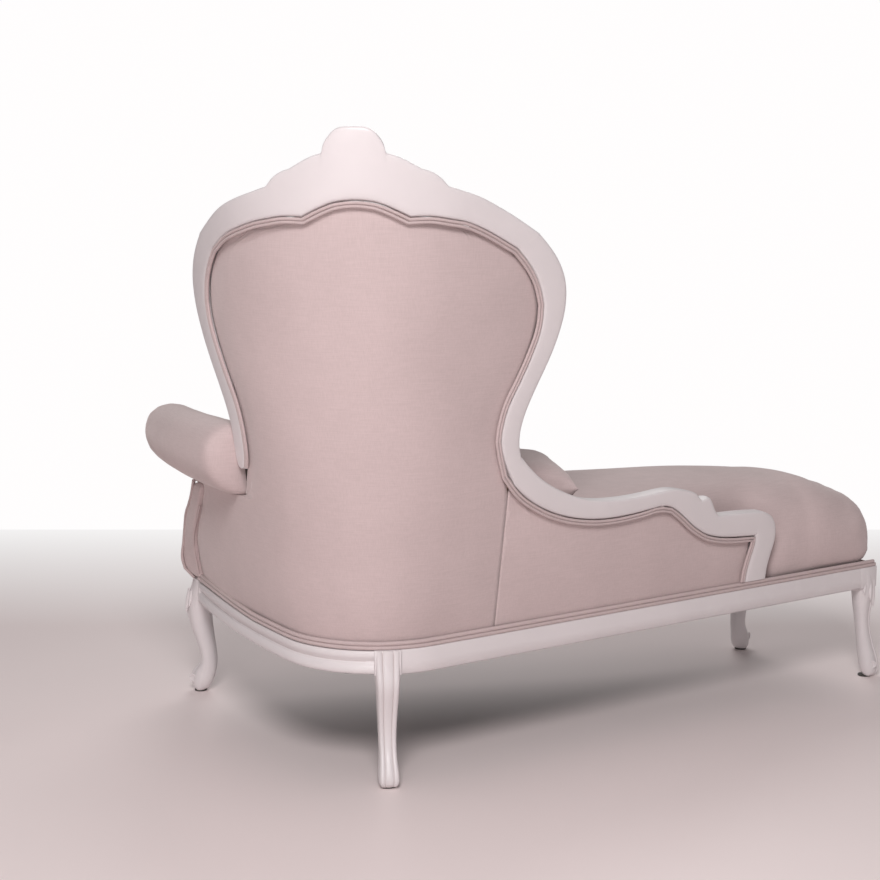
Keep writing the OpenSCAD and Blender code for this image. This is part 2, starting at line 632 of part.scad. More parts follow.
// Fabric panels and pads. A panel is a stack of rows, each from a left to a right end; its columns
// stand closer round the corner of the back
corner_column_share = 0.8;
function columns(left, right) =
    let(a = max(left * corner_column_share, -arc_head), b = min(right * corner_column_share, arc_wall))
    concat([for (k = [0:3]) mix(left, a, k / 4)], [for (k = [0:7]) mix(a, b, k / 8)],
        [for (k = [0:4]) mix(b, right, k / 4)]);
function swell(edge, start, reach) = sin(90 * min(max(edge - start, 0) / reach, 1));
function arch_above(along, h) = lookup(abs(along), arch_edge) - h;

// Outside panel of the head end and the back in one piece
front_post_edge = edge_by_height(curve(front_post_rows, 2));
arm_panel_top = front_arm_top;
function outside_left_at(h) = tuck + (
    h < welt_top ? front_post_foot[2] :
    h <= arm_panel_top ? lookup(min(h, front_arm_under), front_post_edge) :
    h < tip[3] ? -mix(arm_pad_from, tip[2], (h - arm_panel_top) / (tip[3] - arm_panel_top)) :
    -lookup(h, front_edge));
// Reach of the fabric inside the wood, on the wall side as far as the upright below the waist, on
// the front side as far as the tip of the stile
function reach_at(h) = h < waist_h ? min(wall_seam_at - soft_gap, inner_reach(h) - tuck) : inner_reach(h) - tuck;
function front_reach_at(h) = lookup(h, front_edge) - tuck;
arch_heights = [for (r = reversed(span(crest_rows, 1, 8))) r[3]];
tip_heights = [for (r = reversed(frame_rows(stile_front_shares))) r[3]];
low_panel_shares = [0.12, 0.32, 0.54, 0.75, 0.9];
balloon_shares = [0.04, 0.1, 0.18, 0.28, 0.4, 0.52, 0.64, 0.76, 0.87, 0.95];
outside_heights = concat(
    [soft_bottom, welt_top],
    [for (s = low_panel_shares) mix(welt_top, front_arm_under, s)],
    [front_arm_under, arm_panel_top, arm_panel_top + soft_gap / 2],
    tip_heights,
    [for (s = balloon_shares) mix(tip_heights[2], arch_heights[0], s)],
    arch_heights
);
module outside_back_panel() color(fabric_colour)
    loft([for (h = outside_heights)
        let(left = outside_left_at(h), right = reach_at(h), cols = columns(left, right))
        concat(
            [for (a = cols) on_wall(a, h, panel_edge_d - panel_crown
                * swell(min(a - left, right - a, arch_above(a, h), h - soft_bottom), panel_margin, panel_rise))],
            [for (a = reversed(cols)) on_wall(a, h, panel_back_d)]
        )]);

// Panel or pad under the low rail: columns along the wall, each from the seat to the wood above
post_edge_low = post_foot[2] - tuck;
post_edge_high = post_rows[0][2] - frame_cord_d - tuck;
side_shares = [
    0, 0.03, 0.08, 0.16, 0.25, 0.35, 0.45, 0.54, 0.6, 0.66, 0.71, 0.75, 0.785, 0.82, 0.86, 0.93, 0.98, 1
];
side_rows_up = 5;
module side_cover(front_d, crown, back_d)
    let(left = wall_seam_at + soft_gap)
        loft([for (s = side_shares)
            let(high = lower_edge_h(mix(left, post_edge_high, s)) - tuck,
                points = [for (k = [0:side_rows_up])
                    let(h = mix(soft_bottom, high, k / side_rows_up),
                        right = mix(post_edge_low, post_edge_high, k / side_rows_up), a = mix(left, right, s),
                        edge = min(a - left, right - a, high - h, h - soft_bottom))
                    [a, h, front_d - crown * swell(edge, panel_margin, panel_rise)]])
            concat(
                [for (p = points) on_wall(p[0], p[1], p[2])],
                [for (p = reversed(points)) on_wall(p[0], p[1], back_d)]
            )]);
module outside_wall_panel() color(fabric_colour)
    side_cover(panel_edge_d, side_crown, panel_back_d);
module inside_wall_pad() color(fabric_colour)
    side_cover(pad_back_d + side_pad_t, side_pad_t - pad_edge_t, pad_back_d);

// Pads inside the back and the front arm, with their crowns towards the seat
low_pad_shares = [0.15, 0.4, 0.7];
pad_shares = [0.08, 0.17, 0.28, 0.4, 0.52, 0.64, 0.75, 0.86, 0.95];
pad_heights = concat(
    [soft_bottom],
    [for (s = low_pad_shares) mix(rail_top, front_arm_h, s)],
    [front_arm_h, tip_heights[2]],
    [for (s = pad_shares) mix(tip_heights[2], arch_heights[0], s)],
    arch_heights
);
function pad_crown(h) = mix(side_pad_t, back_pad_t, min((h - rail_top) / (waist_h - rail_top), 1));
module inside_back_pad() color(fabric_colour)
    loft([for (h = pad_heights) let(left = -front_reach_at(h), right = reach_at(h), cols = columns(left, right))
        concat(
            [for (a = cols) on_wall(a, h, pad_back_d)],
            [for (a = reversed(cols)) on_wall(a, h, pad_back_d + pad_edge_t + (pad_crown(h) - pad_edge_t)
                * swell(min(a - left, right - a, arch_above(a, h), h - soft_bottom + pad_below), 0, pad_rise))]
        )]);
arm_pad_heights = [for (h = outside_heights) if (h <= arm_panel_top) h];
arm_pad_columns = 10;
module inside_arm_pad() color(fabric_colour)
    loft([for (h = arm_pad_heights)
        let(left = outside_left_at(h), right = -tip[2] - soft_gap,
            cols = [for (j = [0:arm_pad_columns]) mix(left, right, j / arm_pad_columns)])
        concat(
            [for (a = cols) on_wall(a, h, pad_back_d)],
            [for (a = reversed(cols)) on_wall(a, h, pad_back_d + pad_edge_t + (side_pad_t - pad_edge_t)
                * swell(min(a - left, right - a, h - soft_bottom + pad_below), 0, pad_rise))]
        )]);

// Rolled pad on top of the front arm, flat where it sits on its rail: along as a share of its
// length, then width as a share of its own
arm_pad_depth = 10;
arm_pad_end_shares = [
    [0, 0.9], [0.01, 0.98], [0.05, 1], [0.25, 1], [0.5, 1], [0.75, 1],
    [0.95, 1], [0.985, 0.96], [0.998, 0.86], [1, 0.6]
];
module arm_pad() color(fabric_colour)
    let(seat = front_arm_top + soft_gap)
        loft([for (s = arm_pad_end_shares)
            let(r = mix(arm_pad_d, arm_pad_front_d, s[0]) / 2, a = -mix(arm_pad_from, arm_pad_reach, s[0]))
            [for (k = [0:15]) let(t = k * 360 / 16, up = r * (arm_pad_sink_share + s[1] * sin(t)))
                on_wall(a, seat + max(up, 0), arm_pad_depth + r * s[1] * cos(t))]]);

// Double welts: two cords side by side, over the edge where fabric meets wood. Section of the
// pair in shares of one cord's radius, along the seam's breadth and inwards
cord_pair_shares = [[1.2, -0.9], [0, -0.4], [-1.2, -0.9], [-2, 0], [0, 0.9], [2, 0]];
function right_of(p, q) = let(t = unit(q - p)) [t[1], -t[0]];
function mitred(path, i) =
    let(last = len(path) - 1,
        a = right_of(path[max(i - 1, 0)], path[max(i, 1)]),
        b = right_of(path[min(i, last - 1)], path[min(i + 1, last)]))
    (a + b) / (1 + a * b);
// Rings of a double welt beside a path of [along, height] on the leaning walls
function wall_welt(path, gap, r, depth) = [for (i = [0:len(path) - 1]) let(n = mitred(path, i))
    [for (c = r * cord_pair_shares)
        let(p = path[i] + n * (gap + 2 * r + c[0])) on_wall(p[0], p[1], depth + c[1])]];
frame_welt_d = 2.2;
function inner_of(rows) = [for (r = rows) [r[2], r[3]]];
frame_welt_path = concat(
    inner_of(reversed(curve(mirrored(span(stile_front_rows, 0, len(stile_front_rows) - 2)), 2))),
    inner_of(span(reversed(mirrored(half_crest_rows)), 1, len(half_crest_rows) - 1)),
    inner_of(span(half_crest_rows, 1, len(half_crest_rows) - 2)),
    inner_of(curve(stile_wall_rows, 2)),
    inner_of(span(curve(arm_rows, 2), 1, 2 * (len(arm_rows) - 1) - 1)),
    inner_of(concat([post_rows[0]], span(post_rows, 2, len(post_rows) - 1))),
    [[post_foot[2], welt_top]]
);
module frame_welt() color(fabric_colour)
    loft(wall_welt(frame_welt_path, soft_gap, welt_r, frame_welt_d));
arm_welt_path = reversed(concat(inner_of(curve(front_post_rows, 2)), [[front_post_foot[2], welt_top]]));
module arm_welt() color(fabric_colour)
    loft(wall_welt(arm_welt_path, soft_gap, welt_r, frame_welt_d));
base_welt_proud = 1.5;
function base_ring(frame) = [for (c = base_cord_d / 2 * cord_pair_shares)
    concat(inset(frame, welt_seat_d / 2 - base_welt_proud + c[1]), rail_top + soft_gap / 2 + base_cord_d + c[0])];
welt_corner = 10;
module base_welt_wall() color(fabric_colour)
    loft(concat(
        [for (k = [0:10]) base_ring(wall_line(mix(welt_corner - front_end, -arc_head, k / 10)))],
        [for (k = [1:12]) base_ring(wall_line(mix(-arc_head, arc_wall, k / 12)))],
        [base_ring(wall_line(foot_end - welt_corner))]
    ));
function corner_frames(corner, from, to, steps) =
    let(centre = corner - (from + to) * welt_corner / (1 + from * to))
    [for (k = [0:steps]) let(n = unit(mix(from, to, k / steps))) framed(centre + n * welt_corner, n)];
head_out = let(b = wall_line(-front_end)) [b[2], b[3]];
head_corner = in_plan(-front_end, 0);
head_front_out = unit(head_front_block[0] - head_front_block[3]);
module base_welt_front() color(fabric_colour)
    loft([for (f = concat(
        corner_frames([wall_run, 0], [0, -1], [1, 0], 4),
        [for (k = [0:5]) foot_line(k / 5)],
        corner_frames(front_corner, front_dir, front_out, 4),
        [for (k = [0:12]) front_line(1 - k / 12)],
        corner_frames(head_corner, head_front_out, head_out, 4)
    )) base_ring(f)]);

// Seat: a deep crowned cushion that fills the plan between the padded sides and the open rails.
// Section from the bottom edge to the crown: share across, height share, outward bulge, and the
// height share where the edge is tucked in behind the padded sides
seat_section_shares = [
    [0, 0, 0, 0], [0, 0.08, 0.12, 0.2], [0, 0.3, 1, 0.55], [0, 0.5, 0.9, 0.8], [0.015, 0.7, 0.3, 0.91],
    [0.07, 0.86, 0, 0.95], [0.18, 0.95, 0, 0.975], [0.38, 1, 0, 1]
];
seat_bulge = 9;
seat_under_shares = [0.85, 0.5, 0.15];
// Rings along the wall: up to the post by shares of its reach, then past the post by shares of the
// wood's thickness, with the depth as a share of the seat's inset, then round the foot end
seat_wall_shares = [0, 0.06, 0.13, 0.22, 0.36, 0.52, 0.68, 0.82, 0.92];
seat_step_shares = [[-0.9, 0.92], [-0.26, 0.73], [0.05, 0.6], [0.13, 0.34], [0.32, 0.2], [1.05, 0.105]];
seat_end_angles = [0, 25, 45, 60, 72, 82, 90];
seat_end_round = 46;
seat_end_flat = 90;
seat_end_depth_share = 0.7;
// Depth of the seat's open sides, behind the base welt
seat_open_d = welt_seat_d + bend_gap;
seat_end_d = seat_open_d + 3.5 * bend_gap;
seat_over_welt = 6;
seat_lift = welt_top + soft_gap - soft_bottom;
// Each ring: along, depth, how far it is tucked in, and how far its bottom is lifted
wall_stations = concat(
    [for (s = seat_wall_shares) [s * wall_arm_reach, seat_inset, 1, 0]],
    [for (s = seat_step_shares)
        [wall_arm_reach + s[0] * frame_t, s[1] * seat_inset, max(min(-s[0], 1), 0), 0]],
    [for (t = seat_end_angles)
        [foot_end - seat_end_d - seat_end_round * (1 - sin(t)) - (t == 0 ? seat_end_flat : 0),
            seat_open_d + seat_end_round * seat_end_depth_share * (1 - cos(t)), 0, 0]],
    [for (a = [soft_gap - seat_end_d, seat_over_welt])
        [foot_end + a, seat_open_d + seat_end_round * seat_end_depth_share, 0, seat_lift]]
);
first_end = len(seat_wall_shares) + len(seat_step_shares);
last_station = len(wall_stations) - 1;
head_height_shares = [0.88, 0.93, 0.98];
foot_height_shares = [0.95, 0.74, 0.69, 0.645, 0.6, 0.545, 0.49, 0.44, 0.35];
function seat_height_share(i) =
    i < len(head_height_shares) ? head_height_shares[i] : i < first_end ? 1 : foot_height_shares[i - first_end];
// Plan of the seat's front edge, from the head end to the foot end
seat_from = (seat_inset - leg_w) / front_len;
seat_end_in = 10;
seat_to = 1 + (leg_w - seat_end_in) / front_len;
function seat_front(share, depth) = inset(front_line(mix(seat_from, seat_to, share)), depth);
// Point of the plan on ring i, at share q from the wall to the front and at a height above the
// webbing, blended between its four sides; the padded sides lean outwards
function seat_plan(i, q, z = 0) =
    let(a = wall_stations[i][0], d = wall_stations[i][1], p = a / foot_end, leant = seat_inset - z * lean,
        wall = in_plan(a, d - z * lean * wall_stations[i][2]),
        front = seat_front(p, i < first_end ? seat_open_d : d),
        head_0 = in_plan(0, leant), head_1 = seat_front(0, seat_open_d),
        head = in_plan(-q * (front_end - seat_open_d), leant),
        foot_bulge = [foot_bow * sin(180 * q), 0])
    mix(wall, front, q) + (1 - p) * (head - mix(head_0, head_1, q)) + p * foot_bulge;
function seat_ring(i) =
    let(rise = (seat_h - soft_bottom) * seat_height_share(i), tucked = wall_stations[i][2],
        lift = wall_stations[i][3], out = unit(seat_plan(i, 1) - seat_plan(i, 0)))
    concat(
        [for (s = seat_section_shares) let(z = mix(lift, rise, mix(s[1], s[3], tucked)))
            concat(seat_plan(i, s[0], z) - out * s[2] * seat_bulge * (1 - tucked), soft_bottom + z)],
        [for (s = reversed(seat_section_shares))
            let(z = mix(lift, rise, s[1]))
            concat(seat_plan(i, 1 - s[0], z) + out * s[2] * seat_bulge, soft_bottom + z)],
        [for (q = seat_under_shares) concat(seat_plan(i, q), soft_bottom + lift)]
    );
module seat_cushion() color(fabric_colour)
    loft([for (i = [0:last_station]) seat_ring(i)], len(seat_under_shares));

// Loose cushion with pinched corners, lying flat with its middle at the origin
pinch_share = 0.08;
cushion_shares = [-1, -0.9, -0.65, -0.3, 0, 0.3, 0.65, 0.9, 1];
cushion_seam = 1;
function loose_point(w, t, x, y, side) = [
    x * w / 2 * (1 - pinch_share * (1 - y * y)),
    y * w / 2 * (1 - pinch_share * (1 - x * x)),
    side * (t / 2 * sqrt((1 - pow(x, 4)) * (1 - pow(y, 4))) + cushion_seam)
];
module loose_cushion(w, t) color(fabric_colour)
    loft([for (x = cushion_shares) concat(
        [for (y = cushion_shares) loose_point(w, t, x, y, 1)],
        [for (y = reversed(cushion_shares)) loose_point(w, t, x, y, -1)]
    )]);
// Lays a loose cushion on the seat, between ring i and the next, on the slope beside the crown
rest_row = 6;
module on_seat(i, share, half_t) {
    near = seat_section_shares[rest_row];
    next = seat_section_shares[rest_row + 1];
    near_h = near[3] * (seat_h - soft_bottom);
    next_h = next[3] * (seat_h - soft_bottom);
    p = mix(seat_plan(i, near[0], near_h), seat_plan(i + 1, near[0], near_h), share);
    q = mix(seat_plan(i, next[0], next_h), seat_plan(i + 1, next[0], next_h), share);
    across = q - p;
    translate(concat((p + q) / 2, soft_bottom + (near_h + next_h) / 2 + soft_gap))
        rotate([0, -atan2(next_h - near_h, norm(across)), atan2(across[1], across[0])])
            translate([0, 0, half_t + cushion_seam])
                children();
}
cushion_spin = -25;
cushion_place_share = 0.6;
module scatter_cushion() on_seat(4, cushion_place_share, cushion_t / 2)
    rotate([0, 0, cushion_spin]) loose_cushion(cushion_w, cushion_t);

placed() leg_head_wall();
placed() leg_head_front();
placed() leg_foot_wall();
placed() leg_foot_front();
placed() foot_glides();
placed() head_rail();
placed() wall_rail();
placed() foot_rail();
placed() front_rail();
placed() corner_blocks();
placed() crest_rail();
placed() stile_front();
placed() stile_wall();
placed() upright_front();
placed() upright_wall();
placed() lower_back_rail();
placed() wall_arm_rail();
placed() wall_arm_post();
placed() front_arm_rail();
placed() front_arm_post();
placed() seat_webbing_long();
placed() seat_webbing_cross();
placed() back_webbing();
placed() dust_cover();
placed() seat_cushion();
placed() outside_back_panel();
placed() outside_wall_panel();
placed() inside_back_pad();
placed() inside_wall_pad();
placed() inside_arm_pad();
placed() arm_pad();
placed() frame_welt();
placed() arm_welt();
placed() base_welt_wall();
placed() base_welt_front();
placed() scatter_cushion();
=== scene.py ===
"""Upholstered fainting couch with a carved white frame, seen from behind its head end."""
import math

import bmesh
import bpy
from mathutils import Matrix, Vector


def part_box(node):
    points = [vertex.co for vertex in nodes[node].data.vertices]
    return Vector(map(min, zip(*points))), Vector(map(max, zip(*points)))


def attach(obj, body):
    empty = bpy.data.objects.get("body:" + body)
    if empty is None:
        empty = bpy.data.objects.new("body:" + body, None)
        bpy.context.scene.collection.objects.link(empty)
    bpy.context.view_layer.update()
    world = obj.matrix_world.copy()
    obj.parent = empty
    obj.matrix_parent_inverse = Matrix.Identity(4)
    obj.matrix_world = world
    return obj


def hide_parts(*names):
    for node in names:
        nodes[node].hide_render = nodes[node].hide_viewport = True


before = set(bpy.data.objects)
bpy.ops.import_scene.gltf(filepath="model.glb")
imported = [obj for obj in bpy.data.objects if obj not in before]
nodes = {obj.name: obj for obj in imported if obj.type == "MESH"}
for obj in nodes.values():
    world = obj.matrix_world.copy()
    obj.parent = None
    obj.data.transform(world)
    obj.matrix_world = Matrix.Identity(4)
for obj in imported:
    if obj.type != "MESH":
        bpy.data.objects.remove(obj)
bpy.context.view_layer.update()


# Node tree helpers
class Paint:
    """A material being mixed: a Principled shader and the nodes that feed it."""

    def __init__(self, name, color, roughness):
        self.material = bpy.data.materials.new(name)
        self.material.use_nodes = True
        self.tree = self.material.node_tree
        self.shader = self.tree.nodes["Principled BSDF"]
        self.shader.inputs["Base Color"].default_value = (*color, 1)
        self.shader.inputs["Roughness"].default_value = roughness
        self.place = self.add("ShaderNodeTexCoord").outputs["Object"]

    def add(self, kind, **settings):
        node = self.tree.nodes.new(kind)
        for key, value in settings.items():
            setattr(node, key, value)
        return node

    def link(self, output, socket):
        self.tree.links.new(output, socket)

    def noise(self, scale, detail=3.0, roughness=0.55, stretch=None):
        node = self.add("ShaderNodeTexNoise")
        node.inputs["Scale"].default_value = scale
        node.inputs["Detail"].default_value = detail
        node.inputs["Roughness"].default_value = roughness
        self.link(self.stretched(stretch), node.inputs["Vector"])
        return node.outputs["Fac"]

    def stretched(self, stretch):
        if stretch is None:
            return self.place
        mapping = self.add("ShaderNodeMapping")
        mapping.inputs["Scale"].default_value = stretch
        self.link(self.place, mapping.inputs["Vector"])
        return mapping.outputs["Vector"]

    def threads(self, direction, scale, distortion=0.6):
        node = self.add("ShaderNodeTexWave", wave_type="BANDS", bands_direction=direction, wave_profile="SIN")
        node.inputs["Scale"].default_value = scale
        node.inputs["Distortion"].default_value = distortion
        node.inputs["Detail"].default_value = 1.5
        node.inputs["Detail Scale"].default_value = 1.2
        self.link(self.place, node.inputs["Vector"])
        return node.outputs["Fac"]

    def math(self, operation, first, second=None):
        node = self.add("ShaderNodeMath", operation=operation)
        for socket, value in zip(node.inputs, (first, second)):
            if isinstance(value, (int, float)):
                socket.default_value = value
            elif value is not None:
                self.link(value, socket)
        return node.outputs[0]

    def ramp(self, value, stops):
        node = self.add("ShaderNodeValToRGB")
        self.link(value, node.inputs["Fac"])
        band = node.color_ramp
        while len(band.elements) < len(stops):
            band.elements.new(0.5)
        for element, (at, color) in zip(band.elements, stops):
            element.position = at
            element.color = (*color, 1) if len(color) == 3 else color
        return node.outputs["Color"]

    def blend(self, share, first, second, mode="MIX"):
        node = self.add("ShaderNodeMix", data_type="RGBA", blend_type=mode)
        sockets = {s.identifier: s for s in node.inputs}
        for key, value in (("Factor_Float", share), ("A_Color", first), ("B_Color", second)):
            if isinstance(value, (int, float)):
                sockets[key].default_value = value
            elif isinstance(value, tuple):
                sockets[key].default_value = (*value, 1)
            else:
                self.link(value, sockets[key])
        return {s.identifier: s for s in node.outputs}["Result_Color"]

    def bump(self, height, strength, distance, after=None):
        node = self.add("ShaderNodeBump")
        node.inputs["Strength"].default_value = strength
        node.inputs["Distance"].default_value = distance
        self.link(height, node.inputs["Height"])
        if after is not None:
            self.link(after, node.inputs["Normal"])
        return node.outputs["Normal"]

    def finish(self, color=None, roughness=None, normal=None):
        for socket, value in (("Base Color", color), ("Roughness", roughness), ("Normal", normal)):
            if value is not None:
                self.link(value, self.shader.inputs[socket])
        return self.material


def scaled(color, factor):
    return tuple(c * factor for c in color)


# Finishes
PALE_PAINT = (0.725, 0.672, 0.680)
LINEN = (0.59, 0.475, 0.472)


def pale_painted_wood():
    """Brushed satin paint over close grained wood, with painted shade darkening its hollows, and rubbed on
    its edges.
    """
    paint = Paint("pale_painted_wood", PALE_PAINT, 0.34)
    strokes = paint.noise(160, 4, 0.6, stretch=(1.0, 1.0, 0.18))
    tone = paint.ramp(paint.noise(5, 3),
                      [(0.35, scaled(PALE_PAINT, 0.975)), (0.65, scaled(PALE_PAINT, 1.015))])
    edge = paint.add("ShaderNodeNewGeometry").outputs["Pointiness"]
    # Painted shade: the colour darkens wherever the pointiness marks a hollow
    hollow = paint.ramp(edge, [(0.455, (0.72, 0.66, 0.64)), (0.495, (1.0, 1.0, 1.0))])
    color = paint.blend(1.0, tone, hollow, "MULTIPLY")
    rubbed = paint.ramp(edge, [(0.52, (0.0, 0.0, 0.0)), (0.60, (1.0, 1.0, 1.0))])
    worn = paint.math("MULTIPLY", rubbed,
                      paint.ramp(paint.noise(28, 4), [(0.52, (0, 0, 0)), (0.7, (1, 1, 1))]))
    color = paint.blend(paint.math("MULTIPLY", worn, 0.35), color, (0.86, 0.83, 0.82))
    gloss = paint.ramp(paint.noise(22, 4), [(0.3, (0.28, 0.28, 0.28)), (0.7, (0.44, 0.44, 0.44))])
    fine = paint.bump(strokes, 0.10, 0.0004)
    return paint.finish(color, gloss, paint.bump(paint.noise(34, 2), 0.10, 0.0012, fine))


def linen(name, tint, spread=0.06):
    """Close woven linen: three thread directions, each kept off the faces it would run straight into."""
    cloth = Paint(name, tint, 0.86)
    normal = cloth.add("ShaderNodeSeparateXYZ")
    cloth.link(cloth.add("ShaderNodeNewGeometry").outputs["Normal"], normal.inputs[0])
    weave = None
    for axis, direction in enumerate("XYZ"):
        facing = cloth.math("SUBTRACT", 1.0,
                            cloth.math("POWER", cloth.math("ABSOLUTE", normal.outputs[axis]), 2.0))
        thread = cloth.math("MULTIPLY", cloth.threads(direction, 190), facing)
        weave = thread if weave is None else cloth.math("ADD", weave, thread)
    weave = cloth.math("MULTIPLY", weave, 0.5)
    slub_across = cloth.noise(70, 2, 0.5, stretch=(0.5, 0.5, 9.0))
    slub_up = cloth.noise(70, 2, 0.5, stretch=(9.0, 9.0, 0.5))
    slubs = cloth.math("MULTIPLY", cloth.math("ADD", slub_across, slub_up), 0.5)
    broad = cloth.noise(3.2, 3)
    tone = cloth.ramp(broad, [(0.3, scaled(tint, 1 - spread)), (0.7, scaled(tint, 1 + spread))])
    flecks = cloth.ramp(slubs, [(0.38, (0.95, 0.945, 0.94)), (0.62, (1.03, 1.03, 1.03))])
    color = cloth.blend(1.0, tone, flecks, "MULTIPLY")
    dark = cloth.ramp(weave, [(0.15, (0.92, 0.915, 0.915)), (0.75, (1.03, 1.03, 1.03))])
    color = cloth.blend(1.0, color, dark, "MULTIPLY")
    cloth.shader.inputs["Sheen Weight"].default_value = 0.35
    cloth.shader.inputs["Sheen Roughness"].default_value = 0.45
    cloth.shader.inputs["Sheen Tint"].default_value = (1.0, 0.95, 0.93, 1)
    cloth.shader.inputs["Specular IOR Level"].default_value = 0.25
    relief = cloth.bump(slubs, 0.12, 0.0005, cloth.bump(weave, 0.25, 0.0003))
    return cloth.finish(color, None, relief)


def plain_timber():
    """Sawn beech of the hidden frame, with grain lines along its length."""
    timber = Paint("plain_timber", (0.52, 0.36, 0.21), 0.62)
    grain = timber.noise(26, 5, 0.6, stretch=(1.0, 1.0, 8.0))
    color = timber.ramp(grain, [(0.35, (0.40, 0.26, 0.14)), (0.65, (0.60, 0.43, 0.26))])
    return timber.finish(color, None, timber.bump(grain, 0.25, 0.0006))


def slit_shade_timber():
    """The same timber painted near black as painted shade, where it shows in a slit of the cover."""
    timber = Paint("slit_shade_timber", (0.030, 0.022, 0.019), 0.7)
    grain = timber.noise(26, 5, 0.6, stretch=(1.0, 1.0, 8.0))
    color = timber.ramp(grain, [(0.35, (0.022, 0.016, 0.014)), (0.65, (0.042, 0.030, 0.025))])
    return timber.finish(color, None, timber.bump(grain, 0.25, 0.0006))


def jute_webbing():
    """Coarse woven jute with a darker line of threads."""
    jute = Paint("jute_webbing", (0.42, 0.30, 0.17), 0.9)
    weave = jute.math("ADD", jute.threads("X", 110, 1.0), jute.threads("Y", 110, 1.0))
    color = jute.ramp(jute.math("MULTIPLY", weave, 0.5),
                      [(0.2, (0.28, 0.19, 0.10)), (0.8, (0.52, 0.39, 0.24))])
    return jute.finish(color, None, jute.bump(weave, 0.5, 0.0008))


def black_dust_cloth():
    cloth = Paint("black_dust_cloth", (0.022, 0.022, 0.024), 0.92)
    felt = cloth.noise(320, 4, 0.7)
    color = cloth.ramp(felt, [(0.35, (0.014, 0.014, 0.015)), (0.7, (0.04, 0.04, 0.042))])
    return cloth.finish(color, None, cloth.bump(felt, 0.4, 0.0006))


def glide_plastic():
    plastic = Paint("glide_plastic", (0.05, 0.045, 0.04), 0.5)
    scuffs = plastic.noise(240, 5, 0.7)
    gloss = plastic.ramp(scuffs, [(0.35, (0.38, 0.38, 0.38)), (0.7, (0.68, 0.68, 0.68))])
    return plastic.finish(None, gloss, plastic.bump(scuffs, 0.2, 0.0003))


WOOD = pale_painted_wood()
COVER = linen("rose_linen", LINEN)
# The piping is the cover's linen made 7 per cent darker, as painted shade on the cords
PIPING = linen("rose_linen_piping", scaled(LINEN, 0.93), 0.03)
TIMBER = plain_timber()
SLIT_SHADE = slit_shade_timber()
JUTE = jute_webbing()
DUST = black_dust_cloth()
GLIDE = glide_plastic()


# The leaning walls that the back, the arm and the low rail stand on
CORNER_RADIUS, BOW_RADIUS = 0.190, 2.0
BACK_TURN = math.radians(38)
ARC_WALL = CORNER_RADIUS * BACK_TURN
ARC_HEAD = CORNER_RADIUS * (math.pi / 2 - BACK_TURN)
PLAN_ORIGIN = (0.427314, 0.313861)
RAIL_TOP = 0.245
LEAN = math.tan(math.radians(9))
WOOD_THICKNESS = 0.038


def on_wall(along, height, depth=0.0):
    """Point at a distance along from the middle of the back, a height, and a depth in from the outer face."""
    if along > ARC_WALL:
        u, v, out_u, out_v = along - ARC_WALL, 0.0, 0.0, -1.0
    elif along > -ARC_HEAD:
        turn = BACK_TURN - along / CORNER_RADIUS
        out_u, out_v = -math.sin(turn), -math.cos(turn)
        u, v = CORNER_RADIUS * out_u, CORNER_RADIUS * (1 + out_v)
    else:
        turn = (-along - ARC_HEAD) / BOW_RADIUS
        out_u, out_v = -math.cos(turn), math.sin(turn)
        u, v = BOW_RADIUS * (1 + out_u) - CORNER_RADIUS, CORNER_RADIUS + BOW_RADIUS * out_v
    reach = max(height - RAIL_TOP, 0) * LEAN - depth
    return Vector((PLAN_ORIGIN[0] - u - out_u * reach, PLAN_ORIGIN[1] - v - out_v * reach, height))


# Rows of the shaped wood in millimetres, outer edge then inner edge: distance along, height
CREST_ROWS = [
    (0, 1142, 0, 1023.5), (6, 1142, 5, 1023.3), (12, 1141.5, 10, 1022.8), (18, 1137.5, 16, 1021.5),
    (22, 1131, 22, 1019.8), (27, 1121, 28, 1016.8), (29.5, 1112, 33, 1013.8), (29.8, 1105, 38, 1010.5),
    (31.5, 1100, 43, 1007), (37, 1098, 47, 1004), (43, 1095, 51.5, 1000.5), (52, 1088, 56.5, 996.8),
    (61, 1080.5, 61, 997.3), (66, 1076, 66, 997.6), (76, 1072, 72, 997.9), (84, 1065, 78, 997.8),
    (90.5, 1056, 84, 997.2), (94.5, 1048, 89, 996.2), (103, 1045, 97, 994.2), (116, 1039, 107, 992),
    (134, 1033, 120, 988.5), (161, 1022, 142, 980), (186, 1011, 163, 971.5), (212, 999, 182, 963),
    (243.5, 982.6, 204, 952.5), (268.5, 969, 222.3, 943.8)]
# Rows of the crest at which its outer edge, and its lower edge, turn a crisp hollow corner
CREST_NOTCHES = {8: 1.0, 13: 0.7, 17: 1.0}
CREST_CUSP = 11

# Driving sizes of the shaped wood in millimetres, as in the part's own source
WAIST, SHOULDERS, BACK_HALF = 600, 1050, 342
JOINT_AT, LOW_RAIL_REACH, LOW_RAIL_TOP = 278, 953, 480
ARM_REACH, FRONT_END, ARM_UNDERSIDE, WELT_TOP = 560, 722.4, 470.5, 262


def rows_of(shares, start, end, low, high):
    """Rows in millimetres from shares of a run along the wall and of a rise above a height."""
    run, rise = end - start, high - low
    return [(start + a * run, low + b * rise, start + c * run, low + d * rise) for a, b, c, d in shares]


